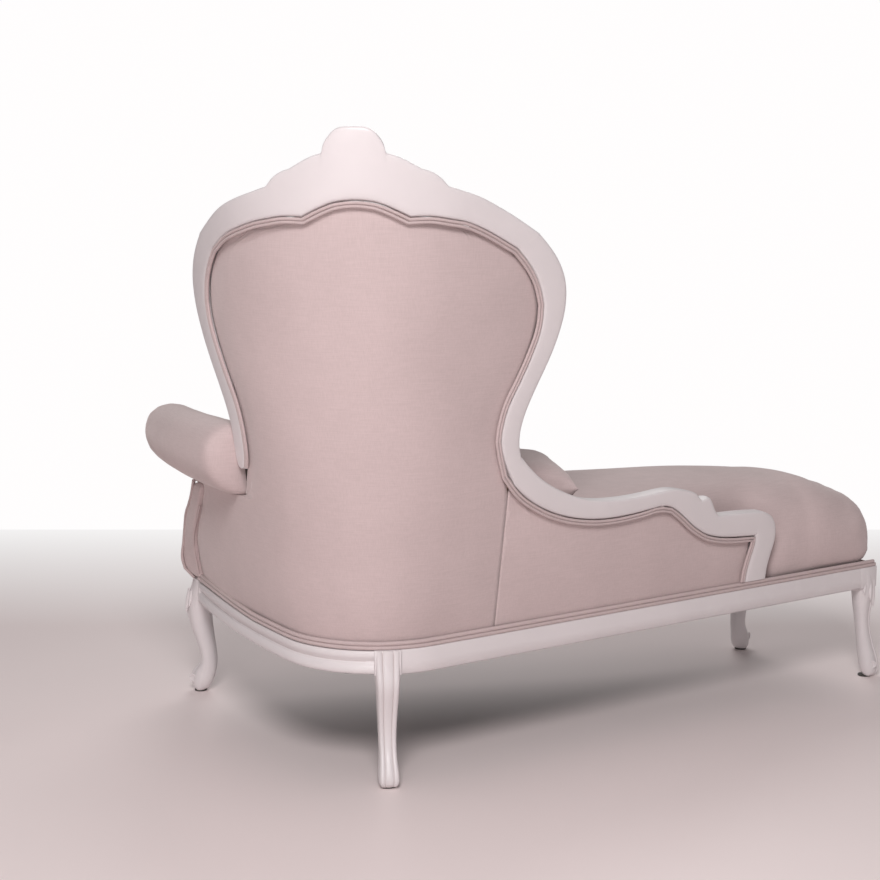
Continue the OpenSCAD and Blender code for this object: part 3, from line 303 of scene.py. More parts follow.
FRAME_SHARES = [
    (0.785, 0.820, 0.650, 0.764), (0.900, 0.742, 0.740, 0.700), (0.977, 0.651, 0.807, 0.631),
    (1.000, 0.560, 0.850, 0.551), (0.988, 0.467, 0.851, 0.462), (0.942, 0.351, 0.813, 0.360),
    (0.871, 0.233, 0.751, 0.249), (0.816, 0.133, 0.696, 0.160), (0.792, 0.055, 0.672, 0.078),
    (0.795, 0.000, 0.668, 0.018)]
TIP_SHARES = [(0.797, -0.055, 0.680, -0.062), (0.790, -0.095, 0.700, -0.100)]
LOW_RAIL_SHARES = [
    (0.095, 1.183, 0.070, 1.004), (0.163, 1.085, 0.147, 0.906), (0.247, 1.000, 0.234, 0.843),
    (0.354, 0.970, 0.329, 0.817), (0.462, 0.978, 0.440, 0.834), (0.551, 1.000, 0.514, 0.860),
    (0.607, 0.974, 0.559, 0.838), (0.651, 0.934, 0.598, 0.765), (0.673, 0.869, 0.622, 0.712),
    (0.704, 0.890, 0.645, 0.661), (0.724, 0.804, 0.668, 0.618), (0.746, 0.722, 0.700, 0.567),
    (0.776, 0.712, 0.735, 0.532), (0.846, 0.710, 0.796, 0.498), (0.929, 0.694, 0.911, 0.476)]
POST_SHARES = [(0.994, 0.545, 0.911, 0.404), (1.000, 0.420, 0.905, 0.332), (0.990, 0.290, 0.898, 0.240),
               (0.983, 0.175, 0.893, 0.145)]
ARM_POST_SHARES = [
    (0.040, 1.000, -0.316, 1.000), (0.197, 0.900, -0.130, 0.860), (0.430, 0.780, 0.130, 0.715),
    (0.710, 0.640, 0.430, 0.560), (0.920, 0.490, 0.630, 0.430), (1.000, 0.335, 0.720, 0.305),
    (1.000, 0.190, 0.720, 0.185)]
# Rows at which the piping eases round the joint of the wall stile and the low rail
JOINT_ROWS = [(274, 590, 239, 574), (278, 578, 250, 545), (308, 549, 282, 510)]

SEAT_RAIL_TOP = 1000 * RAIL_TOP
BALLOON_ROWS = rows_of(FRAME_SHARES, 0, BACK_HALF, WAIST, SHOULDERS)
STILE_TIP_ROWS = rows_of(TIP_SHARES, 0, BACK_HALF, WAIST, SHOULDERS)
LOW_RAIL_ROWS = JOINT_ROWS + rows_of(LOW_RAIL_SHARES, JOINT_AT, LOW_RAIL_REACH, SEAT_RAIL_TOP, LOW_RAIL_TOP)
POST_ROWS = rows_of(POST_SHARES, JOINT_AT, LOW_RAIL_REACH, SEAT_RAIL_TOP, LOW_RAIL_TOP)
POST_ROWS += [(POST_ROWS[-1][0], WELT_TOP, POST_ROWS[-1][2], WELT_TOP)]
ARM_POST_ROWS = rows_of(ARM_POST_SHARES, ARM_REACH, FRONT_END, SEAT_RAIL_TOP, ARM_UNDERSIDE)
ARM_POST_ROWS += [(ARM_POST_ROWS[-1][0], WELT_TOP, ARM_POST_ROWS[-1][2], WELT_TOP)]


def mirrored(rows):
    return [(-a, b, -c, d) for a, b, c, d in reversed(rows)]


WHOLE_CREST = mirrored(CREST_ROWS[1:]) + CREST_ROWS
WHOLE_FRAME = (mirrored(BALLOON_ROWS[1:] + STILE_TIP_ROWS) + WHOLE_CREST + BALLOON_ROWS[1:]
               + LOW_RAIL_ROWS + POST_ROWS)


# Making pieces
SAME_PLACE = 0.00004


def wear(obj, material):
    obj.data.materials.clear()
    obj.data.materials.append(material)


def smooth_shaded(mesh):
    for face in mesh.polygons:
        face.use_smooth = True


def merged_copy(node):
    """The node's shape as one joined mesh, its triangles paired back into four sided faces."""
    shape = bmesh.new()
    shape.from_mesh(nodes[node].data)
    bmesh.ops.remove_doubles(shape, verts=shape.verts, dist=SAME_PLACE)
    bmesh.ops.join_triangles(shape, faces=shape.faces, angle_face_threshold=math.radians(50),
                             angle_shape_threshold=math.radians(75))
    return shape


def new_piece(name, shape, material, node=None):
    mesh = bpy.data.meshes.new(name)
    bmesh.ops.recalc_face_normals(shape, faces=shape.faces)
    shape.to_mesh(mesh)
    shape.free()
    smooth_shaded(mesh)
    piece = bpy.data.objects.new(name, mesh)
    bpy.context.scene.collection.objects.link(piece)
    wear(piece, material)
    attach(piece, "root")
    if node:
        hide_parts(node)
    return piece


def rounded(piece, levels):
    finish = piece.modifiers.new("rounding", "SUBSURF")
    finish.levels = finish.render_levels = levels


def applied(piece):
    """The piece with its modifiers worked into its mesh."""
    graph = bpy.context.evaluated_depsgraph_get()
    mesh = bpy.data.meshes.new_from_object(piece.evaluated_get(graph))
    old = piece.data
    piece.modifiers.clear()
    piece.data = mesh
    bpy.data.meshes.remove(old)
    smooth_shaded(mesh)
    return piece


def crisp(piece):
    """Shades the sharp edges of a wooden piece as edges."""
    piece.data.set_sharp_from_angle(angle=math.radians(36))
    return piece


def creased(shape, sharpest, hollow):
    """Keeps corners crisp: those sharper than one angle, and hollow ones sharper than another."""
    layer = shape.edges.layers.float.new("crease_edge")
    for edge in shape.edges:
        if len(edge.link_faces) == 2:
            angle = math.degrees(edge.calc_face_angle())
            if angle > sharpest:
                edge[layer] = 1.0
            elif angle > hollow and not edge.is_convex:
                edge[layer] = 0.85


def shaped_wood(node, levels=2, sharpest=62, hollow=11):
    """A wooden piece of the frame with its facets turned into flowing curves."""
    shape = merged_copy(node)
    creased(shape, sharpest, hollow)
    piece = new_piece(node + "_shaped", shape, WOOD, node)
    rounded(piece, levels)
    return crisp(applied(piece))


def drawn_through(rings):
    """A solid drawn through rings of points, one disc extruded ring by ring, and the rings' corners."""
    shape = bmesh.new()
    bmesh.ops.create_circle(shape, cap_ends=True, radius=0.01, segments=len(rings[0]))
    end = next(iter(shape.faces))
    places = {corner: k for k, corner in enumerate(end.verts)}
    laid = []
    for ring in rings:
        if laid:
            new = bmesh.ops.extrude_face_region(shape, geom=[end, *end.edges, *end.verts])["geom"]
            end = next(g for g in new if isinstance(g, bmesh.types.BMFace))
            places = {corner: places[min(places, key=lambda old: (old.co - corner.co).length_squared)]
                      for corner in end.verts}
        for corner, k in places.items():
            corner.co = ring[k]
        laid.append(sorted(places, key=places.get))
    return shape, laid


# Section of the shaped wood from its inner edge to its outer edge: share across, depth in metres
WOOD_SECTION = [(0, 0.0055), (0.03, 0.0020), (0.10, 0), (0.5, 0), (0.90, 0), (0.97, 0.0020), (1, 0.0055)]


def wood_ring(row):
    outer_at, outer_h, inner_at, inner_h = (value / 1000 for value in row)
    points = [(share, depth) for share, depth in WOOD_SECTION]
    points += [(share, WOOD_THICKNESS - depth) for share, depth in reversed(WOOD_SECTION)]
    return [on_wall(inner_at + (outer_at - inner_at) * share, inner_h + (outer_h - inner_h) * share, depth)
            for share, depth in points]


def carved_crest():
    """The crest: a shell shaped top between two notched shoulders, over a lower edge with two cusps."""
    shape, rings = drawn_through([wood_ring(row) for row in WHOLE_CREST])
    layer = shape.edges.layers.float.new("crease_edge")
    middle = len(CREST_ROWS) - 1
    last = len(WOOD_SECTION) - 1
    sides = [(row, weight, (last - 1, last, last + 1)) for row, weight in CREST_NOTCHES.items()]
    sides.append((CREST_CUSP, 1.0, (2 * last + 1, 0, 1, 2, 2 * last, 2 * last - 1)))
    for row, weight, corners in sides:
        for index in (middle - row, middle + row):
            ring = rings[index]
            for edge in shape.edges:
                if edge.verts[0] in ring and edge.verts[1] in ring:
                    if all(ring.index(v) in corners for v in edge.verts):
                        edge[layer] = weight
    for ring in (rings[0], rings[-1]):
        for edge in shape.edges:
            if edge.verts[0] in ring and edge.verts[1] in ring:
                edge[layer] = 1.0
    piece = new_piece("crest_rail_carved", shape, WOOD, "crest_rail")
    rounded(piece, 2)
    return crisp(applied(piece))


carved_crest()
for wooden in ("stile_front", "stile_wall", "wall_arm_rail"):
    shaped_wood(wooden, 3)
for wooden in ("wall_arm_post", "head_rail", "foot_rail", "front_rail"):
    shaped_wood(wooden)
shaped_wood("wall_rail", 1, 30)


# Stuffed and stretched pieces
SETTLING_FRAMES = 20


def swollen(piece, pressure, cap, voxel):
    """Blows the piece up as stuffed cloth: a short simulation, with each point's travel capped."""
    remesh = piece.modifiers.new("remesh", "REMESH")
    remesh.mode = "VOXEL"
    remesh.voxel_size = voxel
    applied(piece)
    start = [v.co.copy() for v in piece.data.vertices]
    cloth = piece.modifiers.new("cloth", "CLOTH")
    cloth.settings.quality = 4
    cloth.settings.mass = 0.3
    cloth.settings.tension_stiffness = 20
    cloth.settings.compression_stiffness = 20
    cloth.settings.bending_stiffness = 2
    cloth.settings.use_pressure = True
    cloth.settings.uniform_pressure_force = pressure
    cloth.settings.effector_weights.gravity = 0
    cloth.point_cache.frame_start = 1
    cloth.point_cache.frame_end = SETTLING_FRAMES
    for step in range(1, SETTLING_FRAMES + 1):
        bpy.context.scene.frame_set(step)
    graph = bpy.context.evaluated_depsgraph_get()
    swelled = piece.evaluated_get(graph).to_mesh()
    moved = [v.co.copy() for v in swelled.vertices]
    piece.evaluated_get(graph).to_mesh_clear()
    piece.modifiers.clear()
    for vertex, rest, now in zip(piece.data.vertices, start, moved):
        travel = now - rest
        if travel.length > cap:
            travel *= cap / travel.length
        vertex.co = rest + travel
    bpy.context.scene.frame_set(1)
    return piece


def cushion(node, pressure=3.0, cap=0.006, voxel=0.006, smoothing=6):
    """A padded piece from its plain shape: swollen, then smoothed."""
    shape = merged_copy(node)
    piece = new_piece(node + "_stuffed", shape, COVER, node)
    swollen(piece, pressure, cap, voxel)
    soften = piece.modifiers.new("soften", "SMOOTH")
    soften.factor = 0.5
    soften.iterations = smoothing
    applied(piece)
    return piece


def eased(piece, low, high, passes):
    """Smooths the part of a piece that lies in a box, where the stuffing has settled."""
    shape = bmesh.new()
    shape.from_mesh(piece.data)
    inside = [v for v in shape.verts if all(a <= c <= b for a, c, b in zip(low, v.co, high))]
    for _ in range(passes):
        bmesh.ops.smooth_vert(shape, verts=inside, factor=0.5,
                              use_axis_x=True, use_axis_y=True, use_axis_z=True)
    shape.to_mesh(piece.data)
    shape.free()
    smooth_shaded(piece.data)


def filled_out(piece, low, high, amount):
    """Swells the part of a piece that lies in a box outwards, most at the middle of the box."""
    for v in piece.data.vertices:
        shares = [(c - a) / (b - a) for a, c, b in zip(low, v.co, high)]
        if all(0 < share < 1 for share in shares):
            v.co += v.normal * amount * math.prod(math.sin(math.pi * share) ** 0.5 for share in shares)


def stretched_cover(node, levels=2):
    """Fabric stretched over its frame: the panel's own crown, drawn smooth."""
    shape = merged_copy(node)
    layer = shape.edges.layers.float.new("crease_edge")
    for edge in shape.edges:
        if len(edge.link_faces) == 2 and edge.calc_face_angle() > math.radians(50):
            edge[layer] = 1.0
    piece = new_piece(node + "_stretched", shape, COVER, node)
    rounded(piece, levels)
    applied(piece)
    return piece


back_cover = stretched_cover("outside_back_panel")
# A patch of the cover beside the joint of the arm is smoothed
eased(back_cover, (0.60, 0.06, 0.455), (0.70, 0.175, 0.54), 25)
stretched_cover("outside_wall_panel")
for stuffed, voxel, smoothing in (("inside_back_pad", 0.006, 8), ("inside_wall_pad", 0.006, 6),
                                  ("inside_arm_pad", 0.006, 6), ("scatter_cushion", 0.005, 3)):
    cushion(stuffed, voxel=voxel, smoothing=smoothing)
arm_roll = cushion("arm_pad", voxel=0.005, smoothing=3)
roll_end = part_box("arm_pad")[1].x
# The roll's outer side is smoothed in boxes that draw in towards it
for shrink in range(5):
    eased(arm_roll, (roll_end - 0.080 + 0.012 * shrink, -1, 0), (1, 1, 1), 14)
seat = cushion("seat_cushion", pressure=4.0, cap=0.004, voxel=0.007, smoothing=24)
# Part of the seat's top is smoothed in boxes that draw in, and its foot end filled out and smoothed
for shrink in range(8):
    eased(seat, (-0.64 + 0.02 * shrink, -0.06 + 0.02 * shrink, 0.30 + 0.006 * shrink),
          (-0.08 - 0.02 * shrink, 0.33, 0.60), 12)
filled_out(seat, (-0.95, -0.10, 0.262), (-0.52, 0.44, 0.48), 0.016)
eased(seat, (-0.95, -0.40, 0.285), (-0.40, 0.44, 0.60), 10)


# Double piping
def rings_of(node, start, count):
    """The rings of points that a welt is made of, walked from the six points nearest to start."""
    shape = bmesh.new()
    shape.from_mesh(nodes[node].data)
    bmesh.ops.remove_doubles(shape, verts=shape.verts, dist=SAME_PLACE)
    shape.verts.ensure_lookup_table()
    ring = sorted(shape.verts, key=lambda v: (v.co - start).length)[:count]
    seen = set(ring)
    rings = []
    while ring:
        rings.append([v.co.copy() for v in ring])
        following = {e.other_vert(v) for v in ring for e in v.link_edges} - seen
        seen |= following
        ring = list(following)
    shape.free()
    return rings


def far_pair(ring):
    """The two points of a ring furthest apart: the outer edges of its two cords."""
    return max(((p, q) for p in ring for q in ring), key=lambda pair: (pair[0] - pair[1]).length_squared)


def bent_cords(name, lines, radius, material, sharp=28):
    """Round cords through lists of points, bent smoothly except at corners sharper than an angle."""
    curve = bpy.data.curves.new(name, "CURVE")
    curve.dimensions = "3D"
    curve.resolution_u = 4
    curve.bevel_resolution = 3
    curve.bevel_depth = radius
    curve.use_fill_caps = True
    for points in lines:
        spline = curve.splines.new("BEZIER")
        spline.bezier_points.add(len(points) - 1)
        for k, (knot, co) in enumerate(zip(spline.bezier_points, points)):
            knot.co = co
            kind = "AUTO"
            if 0 < k < len(points) - 1:
                if (co - points[k - 1]).angle(points[k + 1] - co, 0) > math.radians(sharp):
                    kind = "VECTOR"
            knot.handle_left_type = knot.handle_right_type = kind
    line = bpy.data.objects.new(name, curve)
    bpy.context.scene.collection.objects.link(line)
    graph = bpy.context.evaluated_depsgraph_get()
    mesh = bpy.data.meshes.new_from_object(line.evaluated_get(graph))
    bpy.data.objects.remove(line)
    piece = bpy.data.objects.new(name, mesh)
    bpy.context.scene.collection.objects.link(piece)
    smooth_shaded(mesh)
    wear(piece, material)
    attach(piece, "root")
    return piece


def cord_lines(node, start):
    """The middles of a welt's two cords, from the rings of its own solid."""
    first, second, before = [], [], None
    for ring in rings_of(node, start, 6):
        if len(ring) != 6:
            continue
        p, q = far_pair(ring)
        if before:
            kept_order = (p - before[0]).length + (q - before[1]).length
            swapped_order = (q - before[0]).length + (p - before[1]).length
            if kept_order > swapped_order:
                p, q = q, p
        before = (p, q)
        first.append(p.lerp(q, 0.25))
        second.append(p.lerp(q, 0.75))
    return first, second, (before[0] - before[1]).length / 4


def double_piping(node, start):
    """Two round covered cords side by side, along the middle of the welt's own solid."""
    first, second, radius = cord_lines(node, start)
    piece = bent_cords(node + "_cords", (first, second), radius, PIPING)
    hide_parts(node)


def beside(path, offset):
    """A path of distances along and heights, moved sideways by a mitred offset, to its left."""
    moved = []
    for k, here in enumerate(path):
        before, after = Vector(path[max(k - 1, 0)]), Vector(path[min(k + 1, len(path) - 1)])
        into = (Vector(here) - before).normalized() if k else (after - Vector(here)).normalized()
        out = (after - Vector(here)).normalized() if k < len(path) - 1 else into
        side = Vector((into.y + out.y, -into.x - out.x))
        moved.append(Vector(here) + side * offset / (1 + into.dot(out)))
    return moved


def laid_on_wall(path, depth):
    return [on_wall(p[0], p[1], depth) for p in path]


CORD = 0.00275
inner_edge = [(row[2] / 1000, row[3] / 1000) for row in WHOLE_FRAME]
for side_name, cord_depth in (("frame_welt_cords", 0.0018), ("inner_welt_cords", WOOD_THICKNESS + 0.0015)):
    lines = [laid_on_wall(beside(inner_edge, 0.0004 + CORD * step), cord_depth) for step in (1.0, 3.0)]
    frame_piping = bent_cords(side_name, lines, CORD, PIPING, 17)
    if side_name == "frame_welt_cords":
        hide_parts("frame_welt")

base_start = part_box("base_welt_wall")
double_piping("base_welt_wall", Vector((base_start[1].x, base_start[0].y, base_start[0].z)))
base_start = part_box("base_welt_front")
double_piping("base_welt_front", Vector((base_start[0].x, base_start[1].y, base_start[0].z)))


# The front arm's post: it is wrapped in the same fabric, with piping along its front edge
# Its top and its foot have rows of their own, and between them it follows the arm's post
COVERED_ROWS = [(539, 482, 498, 482), (573, 452, 534, 444), (619, 421, 581, 406)] + ARM_POST_ROWS[3:7]
COVERED_ROWS += [(720, 266, 677, 266), (700, 249, 668, 249)]
# The fabric's swell outwards at each of these rows, in millimetres
COVERED_SWELL = [0, 0, 0, 0, 2, 8.5, 17, 15.5, 3]
COVERED_THICKNESS = 0.036
# Section of the fabric face, from where it tucks behind the pad to the front edge: share across, depth
COVERED_SECTION = [(-0.22, 0.0030), (-0.16, -0.0008), (0.0, -0.0020), (0.3, -0.0024), (0.55, -0.0024),
                   (0.8, -0.0024), (0.97, -0.0018), (1.0, 0.0016)]


def covered_post():
    """The wrapped post: its outer face swells with the fabric, its inner face stays flat."""
    rings = []
    for row, swell in zip(COVERED_ROWS, COVERED_SWELL):
        outer_at, outer_h, inner_at, inner_h = (value / 1000 for value in row)
        across = [(share, depth - swell / 1000 * max(share, 0)) for share, depth in COVERED_SECTION]
        across += [(share, COVERED_THICKNESS - depth) for share, depth in reversed(COVERED_SECTION)]
        rings.append([on_wall(-(inner_at + (outer_at - inner_at) * share),
                              inner_h + (outer_h - inner_h) * share, depth) for share, depth in across])
    shape, _ = drawn_through(rings)
    post = new_piece("front_arm_post_covered", shape, COVER, "front_arm_post")
    rounded(post, 2)
    applied(post)


covered_post()
post_edge = [(-row[0] / 1000, row[1] / 1000, swell / 1000) for row, swell in zip(COVERED_ROWS, COVERED_SWELL)]
lines = []
for inwards, proud in ((0.0015, -0.0012), (0.0068, 0.0026)):
    lines.append([on_wall(a + inwards, h, -b - proud) for a, h, b in post_edge])
bent_cords("arm_edge_cords", lines, CORD, PIPING)
seam_edge = [(-row[2] / 1000, row[3] / 1000) for row in ARM_POST_ROWS]
seam = bent_cords("arm_welt_seam", [laid_on_wall(beside(seam_edge[1:], -0.0100), 0.0020)], 0.0014, PIPING)
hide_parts("arm_welt")


# Legs
# Outline of a fluted leg, outward side first: depth and width as shares of its half size
FLUTED = [
    (0.90, -0.90), (1.0, -0.76), (1.0, -0.50), (0.86, -0.42), (1.0, -0.34), (1.04, 0.0), (1.0, 0.34),
    (0.86, 0.42), (1.0, 0.50), (1.0, 0.76), (0.90, 0.90), (0.5, 1.0), (0.0, 1.02), (-0.6, 1.0),
    (-0.95, 0.86), (-1.0, 0.4), (-1.0, -0.4), (-0.95, -0.86), (-0.6, -1.0), (0.0, -1.02), (0.5, -1.0)]
# Outline of a corner leg: a moulded edge outwards between two grooves, then broad rounded flanks
EDGED = [
    (1.04, 0.0), (1.00, 0.16), (0.90, 0.27), (0.78, 0.27), (0.74, 0.42), (0.56, 0.72), (0.26, 0.95),
    (-0.05, 1.02), (-0.36, 0.96), (-0.70, 0.70), (-0.93, 0.36), (-1.0, 0.0)]
EDGED = EDGED + [(depth, -width) for depth, width in reversed(EDGED[1:-1])]
# Stations from the floor up, in millimetres: height, reach outwards, reach inwards, half width
FLUTED_STATIONS = [
    (3, 46, 16, 14.5), (8, 52, 13, 18), (18, 54, 9, 18.8), (30, 49, 5, 18),
    (44, 39, -1, 16.4), (62, 27, -8, 15.6), (83, 20, -13, 16), (105, 20, -14, 16.8),
    (129, 24, -13, 18.2), (154, 32, -11, 19.6), (178, 40, -10, 21), (196, 38, -14, 22),
    (212, 31, -18, 22.8), (230, 28.5, -20, 23.2), (244.6, 28, -20, 23.2)]
SWEPT_STATIONS = [
    (3, 32, 12, 14), (8, 41, 4, 18.5), (18, 45, -3, 20.5), (30, 46, -9, 20.5),
    (45, 40, -14, 18.5), (60, 21, -16.5, 17), (78, 20, -17.5, 17), (105, 29, -13.5, 18.5),
    (132, 41, -9, 21.5), (154, 49, -6, 23.5), (180, 51.5, -4, 25.5), (200, 49, -8, 25.5),
    (214, 45, -14, 25), (232, 38, -18, 24.5), (244.6, 34, -20, 24.5)]
UPRIGHT_STATIONS = [
    (3, 35, 12, 14), (8, 43, 8, 18), (18, 45, 4, 20), (30, 44, 2, 20),
    (46, 41, -1, 18.5), (62, 35, -3, 17), (80, 30, -5, 16.5), (105, 24, -8, 17),
    (132, 22, -11, 19), (154, 24.5, -15, 21), (180, 29, -18, 23), (200, 31.5, -20, 23.5),
    (214, 31, -21, 24), (232, 28.5, -21, 24), (244.6, 27, -21, 24)]


BLOCK_FOOT = 0.2002


def block_of(node):
    """The square top of a leg, between the rails, with its edges eased."""
    shape = merged_copy(node)
    everything = shape.verts[:] + shape.edges[:] + shape.faces[:]
    bmesh.ops.bisect_plane(shape, geom=everything, plane_co=(0, 0, BLOCK_FOOT), plane_no=(0, 0, 1),
                           clear_inner=True)
    low_faces = [f for f in shape.faces if f.calc_center_median().z < BLOCK_FOOT + 0.0048]
    bmesh.ops.delete(shape, geom=low_faces, context="FACES")
    bmesh.ops.delete(shape, geom=[v for v in shape.verts if not v.link_faces], context="VERTS")
    bmesh.ops.holes_fill(shape, edges=[e for e in shape.edges if e.is_boundary], sides=0)
    bmesh.ops.bevel(shape, geom=[e for e in shape.edges if e.calc_face_angle(0) > 1.0], offset=0.0012,
                    segments=2, affect="EDGES", profile=0.5, material=-1)
    return shape


def middle_of(node, low, high):
    """Middle in plan of the corners of a node that lie between two heights."""
    corners = {(round(v.co.x, 5), round(v.co.y, 5)) for v in nodes[node].data.vertices if low < v.co.z < high}
    return Vector((sum(x for x, _ in corners), sum(y for _, y in corners))) / len(corners)


def leg(node, outline, stations, leaf):
    """A carved leg drawn up from its foot, with its block, and on a corner leg a leaf and a scrolled toe."""
    middle = middle_of(node, RAIL_TOP - 0.001, RAIL_TOP + 0.001)
    outwards = middle_of(node, 0, 0.004) - middle
    turn = (Matrix.Translation((middle.x, middle.y, 0))
            @ Matrix.Rotation(math.atan2(outwards.y, outwards.x), 4, "Z"))
    rings = []
    for height, reach, back, wide in stations:
        half = (reach - back) / 2
        rings.append([Vector((reach - half + d * half, w * wide, height)) / 1000 for d, w in outline])
    shape, laid = drawn_through(rings)
    layer = shape.edges.layers.float.new("crease_edge")
    for ring, weight in ((laid[0], 0.8), (laid[-1], 1.0)):
        for edge in shape.edges:
            if edge.verts[0] in ring and edge.verts[1] in ring:
                edge[layer] = weight
    parts = [shape]
    if leaf:
        parts += carved_leaf(stations)
    piece = new_piece(node + "_carved", joined(parts, turn), WOOD, node)
    rounded(piece, 2)
    crisp(applied(piece))
    crisp(new_piece(node + "_block", block_of(node), WOOD, node))


def joined(parts, turn):
    """Several shapes in one, turned into place."""
    whole = bmesh.new()
    for part in parts:
        mesh = bpy.data.meshes.new("part")
        part.to_mesh(mesh)
        part.free()
        whole.from_mesh(mesh)
        bpy.data.meshes.remove(mesh)
    bmesh.ops.transform(whole, matrix=turn, verts=whole.verts)
    return whole


def drop(place, size, tilt=(0, 0, 0)):
    """A pointed drop, the unit of all the carving: a ball drawn out to a point at its lower end."""
    shape = bmesh.new()
    bmesh.ops.create_uvsphere(shape, u_segments=10, v_segments=7, radius=1.0)
    for v in shape.verts:
        share = 1 - 0.55 * max(-v.co.z, 0) ** 2
        v.co = Vector((v.co.x * share, v.co.y * share, v.co.z))
    spin = (Matrix.Rotation(tilt[2], 4, "Z") @ Matrix.Rotation(tilt[1], 4, "Y")
            @ Matrix.Rotation(tilt[0], 4, "X"))
    laid = Matrix.Translation(place) @ spin @ Matrix.Diagonal((*size, 1))
    bmesh.ops.transform(shape, matrix=laid, verts=shape.verts)
    return shape


def carved_leaf(stations):
    """Leaf laid over the knee of a corner leg, and the curl of its toe."""
    reach = {height: out / 1000 for height, out, _, _ in stations}
    knee, toe = reach[180], reach[30]
    parts = [drop((knee - 0.0015, 0, 0.186), (0.0050, 0.0060, 0.034), (0, -0.03, 0))]
    for side in (-1, 1):
        parts.append(drop((knee - 0.0085, side * 0.0125, 0.196), (0.0052, 0.0055, 0.026),
                          (side * 0.20, -0.05, 0)))
        parts.append(drop((knee - 0.0210, side * 0.0205, 0.204), (0.0050, 0.0050, 0.020),
                          (side * 0.34, 0, 0)))
    for side in (-1, 1):
        curl = bmesh.new()
        bmesh.ops.create_cone(curl, cap_ends=True, segments=20, radius1=0.0095, radius2=0.0080, depth=0.004)
        ends = [f for f in curl.faces if len(f.verts) > 4]
        bmesh.ops.inset_individual(curl, faces=ends, thickness=0.0030, depth=0.0)
        bmesh.ops.inset_individual(curl, faces=ends, thickness=0.0012, depth=-0.0015)
        place = (Matrix.Translation((toe - 0.013, side * 0.0155, 0.030))
                 @ Matrix.Rotation(side * math.pi / 2, 4, "X"))
        bmesh.ops.transform(curl, matrix=place, verts=curl.verts)
        parts.append(curl)
    return parts


leg("leg_head_wall", FLUTED, FLUTED_STATIONS, False)
leg("leg_head_front", EDGED, SWEPT_STATIONS, True)
leg("leg_foot_wall", EDGED, UPRIGHT_STATIONS, True)
leg("leg_foot_front", EDGED, SWEPT_STATIONS, True)


# Mouldings and carving on the inner side of the frame
def inner_carving():
    """A fan shell over a pair of scrolls on the crest, drawn flat and then laid on the curved inner face."""
    parts = []
    for turn, long in ((-72, 0.019), (-48, 0.0155), (-24, 0.0245), (0, 0.028), (24, 0.0245), (48, 0.0155),
                       (72, 0.019)):
        lean = math.radians(turn)
        middle = Vector((math.sin(lean) * long * 1.15, 0, 1.072 + math.cos(lean) * long * 1.15))
        parts.append(drop(middle, (0.0062, 0.0055, long), (0, lean, 0)))
    parts.append(drop(Vector((0, 0.001, 1.066)), (0.012, 0.007, 0.012), (0, 0, 0)))
    for side in (-1, 1):
        for k, (along, height, size, lean) in enumerate(
                ((0.034, 1.052, 0.020, 62), (0.056, 1.058, 0.017, 78), (0.080, 1.036, 0.020, 100),
                 (0.108, 1.026, 0.024, 112), (0.140, 1.013, 0.022, 116), (0.168, 1.001, 0.018, 118))):
            parts.append(drop(Vector((side * along, 0, height)), (0.0055, 0.0048, size),
                              (0, side * math.radians(lean), 0)))
    shape = joined(parts, Matrix.Identity(4))
    for v in shape.verts:
        v.co = on_wall(v.co.x, v.co.z, WOOD_THICKNESS + v.co.y)
    carving = new_piece("crest_carving", shape, WOOD)
    rounded(carving, 1)
    applied(carving)


def thinned(path, least):
    """The path without the points too close to the one before for a moulding to turn round them."""
    kept = [path[0]]
    for point in path[1:]:
        if math.dist(point, kept[-1]) >= least:
            kept.append(point)
    return kept


inner_carving()
outer_edge = thinned([(row[0] / 1000, row[1] / 1000) for row in WHOLE_FRAME], 0.013)
for bead, offset, size in (("edge_bead", 0.0065, 0.0026), ("edge_bead_fine", 0.0125, 0.0014)):
    bead_line = laid_on_wall(beside(outer_edge, offset), WOOD_THICKNESS - 0.0006)
    bent_cords("frame_" + bead, [bead_line], size, WOOD, 17)
curls = []
for side in (-1, 1):
    turns = [(side * (0.062 + r * math.cos(t)), 1.047 + r * math.sin(t)) for t, r in
             ((math.radians(25 * k), 0.0175 * 0.955 ** k) for k in range(30))]
    curls.append(laid_on_wall(turns, WOOD_THICKNESS - 0.0004))
bent_cords("crest_scrolls", curls, 0.0028, WOOD, 60)


# Nodes that keep their CAD shape
def dress(names, material):
    for name in names:
        nodes[name].data.materials.clear()
        nodes[name].data.materials.append(material)


dress(["corner_blocks", "upright_wall", "lower_back_rail"], TIMBER)
# The front upright is painted near black: painted shade in the slit beside the arm pad
dress(["upright_front"], SLIT_SHADE)
dress(["seat_webbing_long", "seat_webbing_cross", "back_webbing"], JUTE)
dress(["dust_cover"], DUST)
dress(["foot_glides"], GLIDE)
dress(["front_arm_rail"], COVER)


# Room, light and camera
FOCAL_PIXELS, PICTURE_PIXELS = 1632, 880
STANDPOINT = (1.9873, 2.6449, 1.021)
SIGHT = (-0.559, -0.829)
TILT = math.radians(8.28)


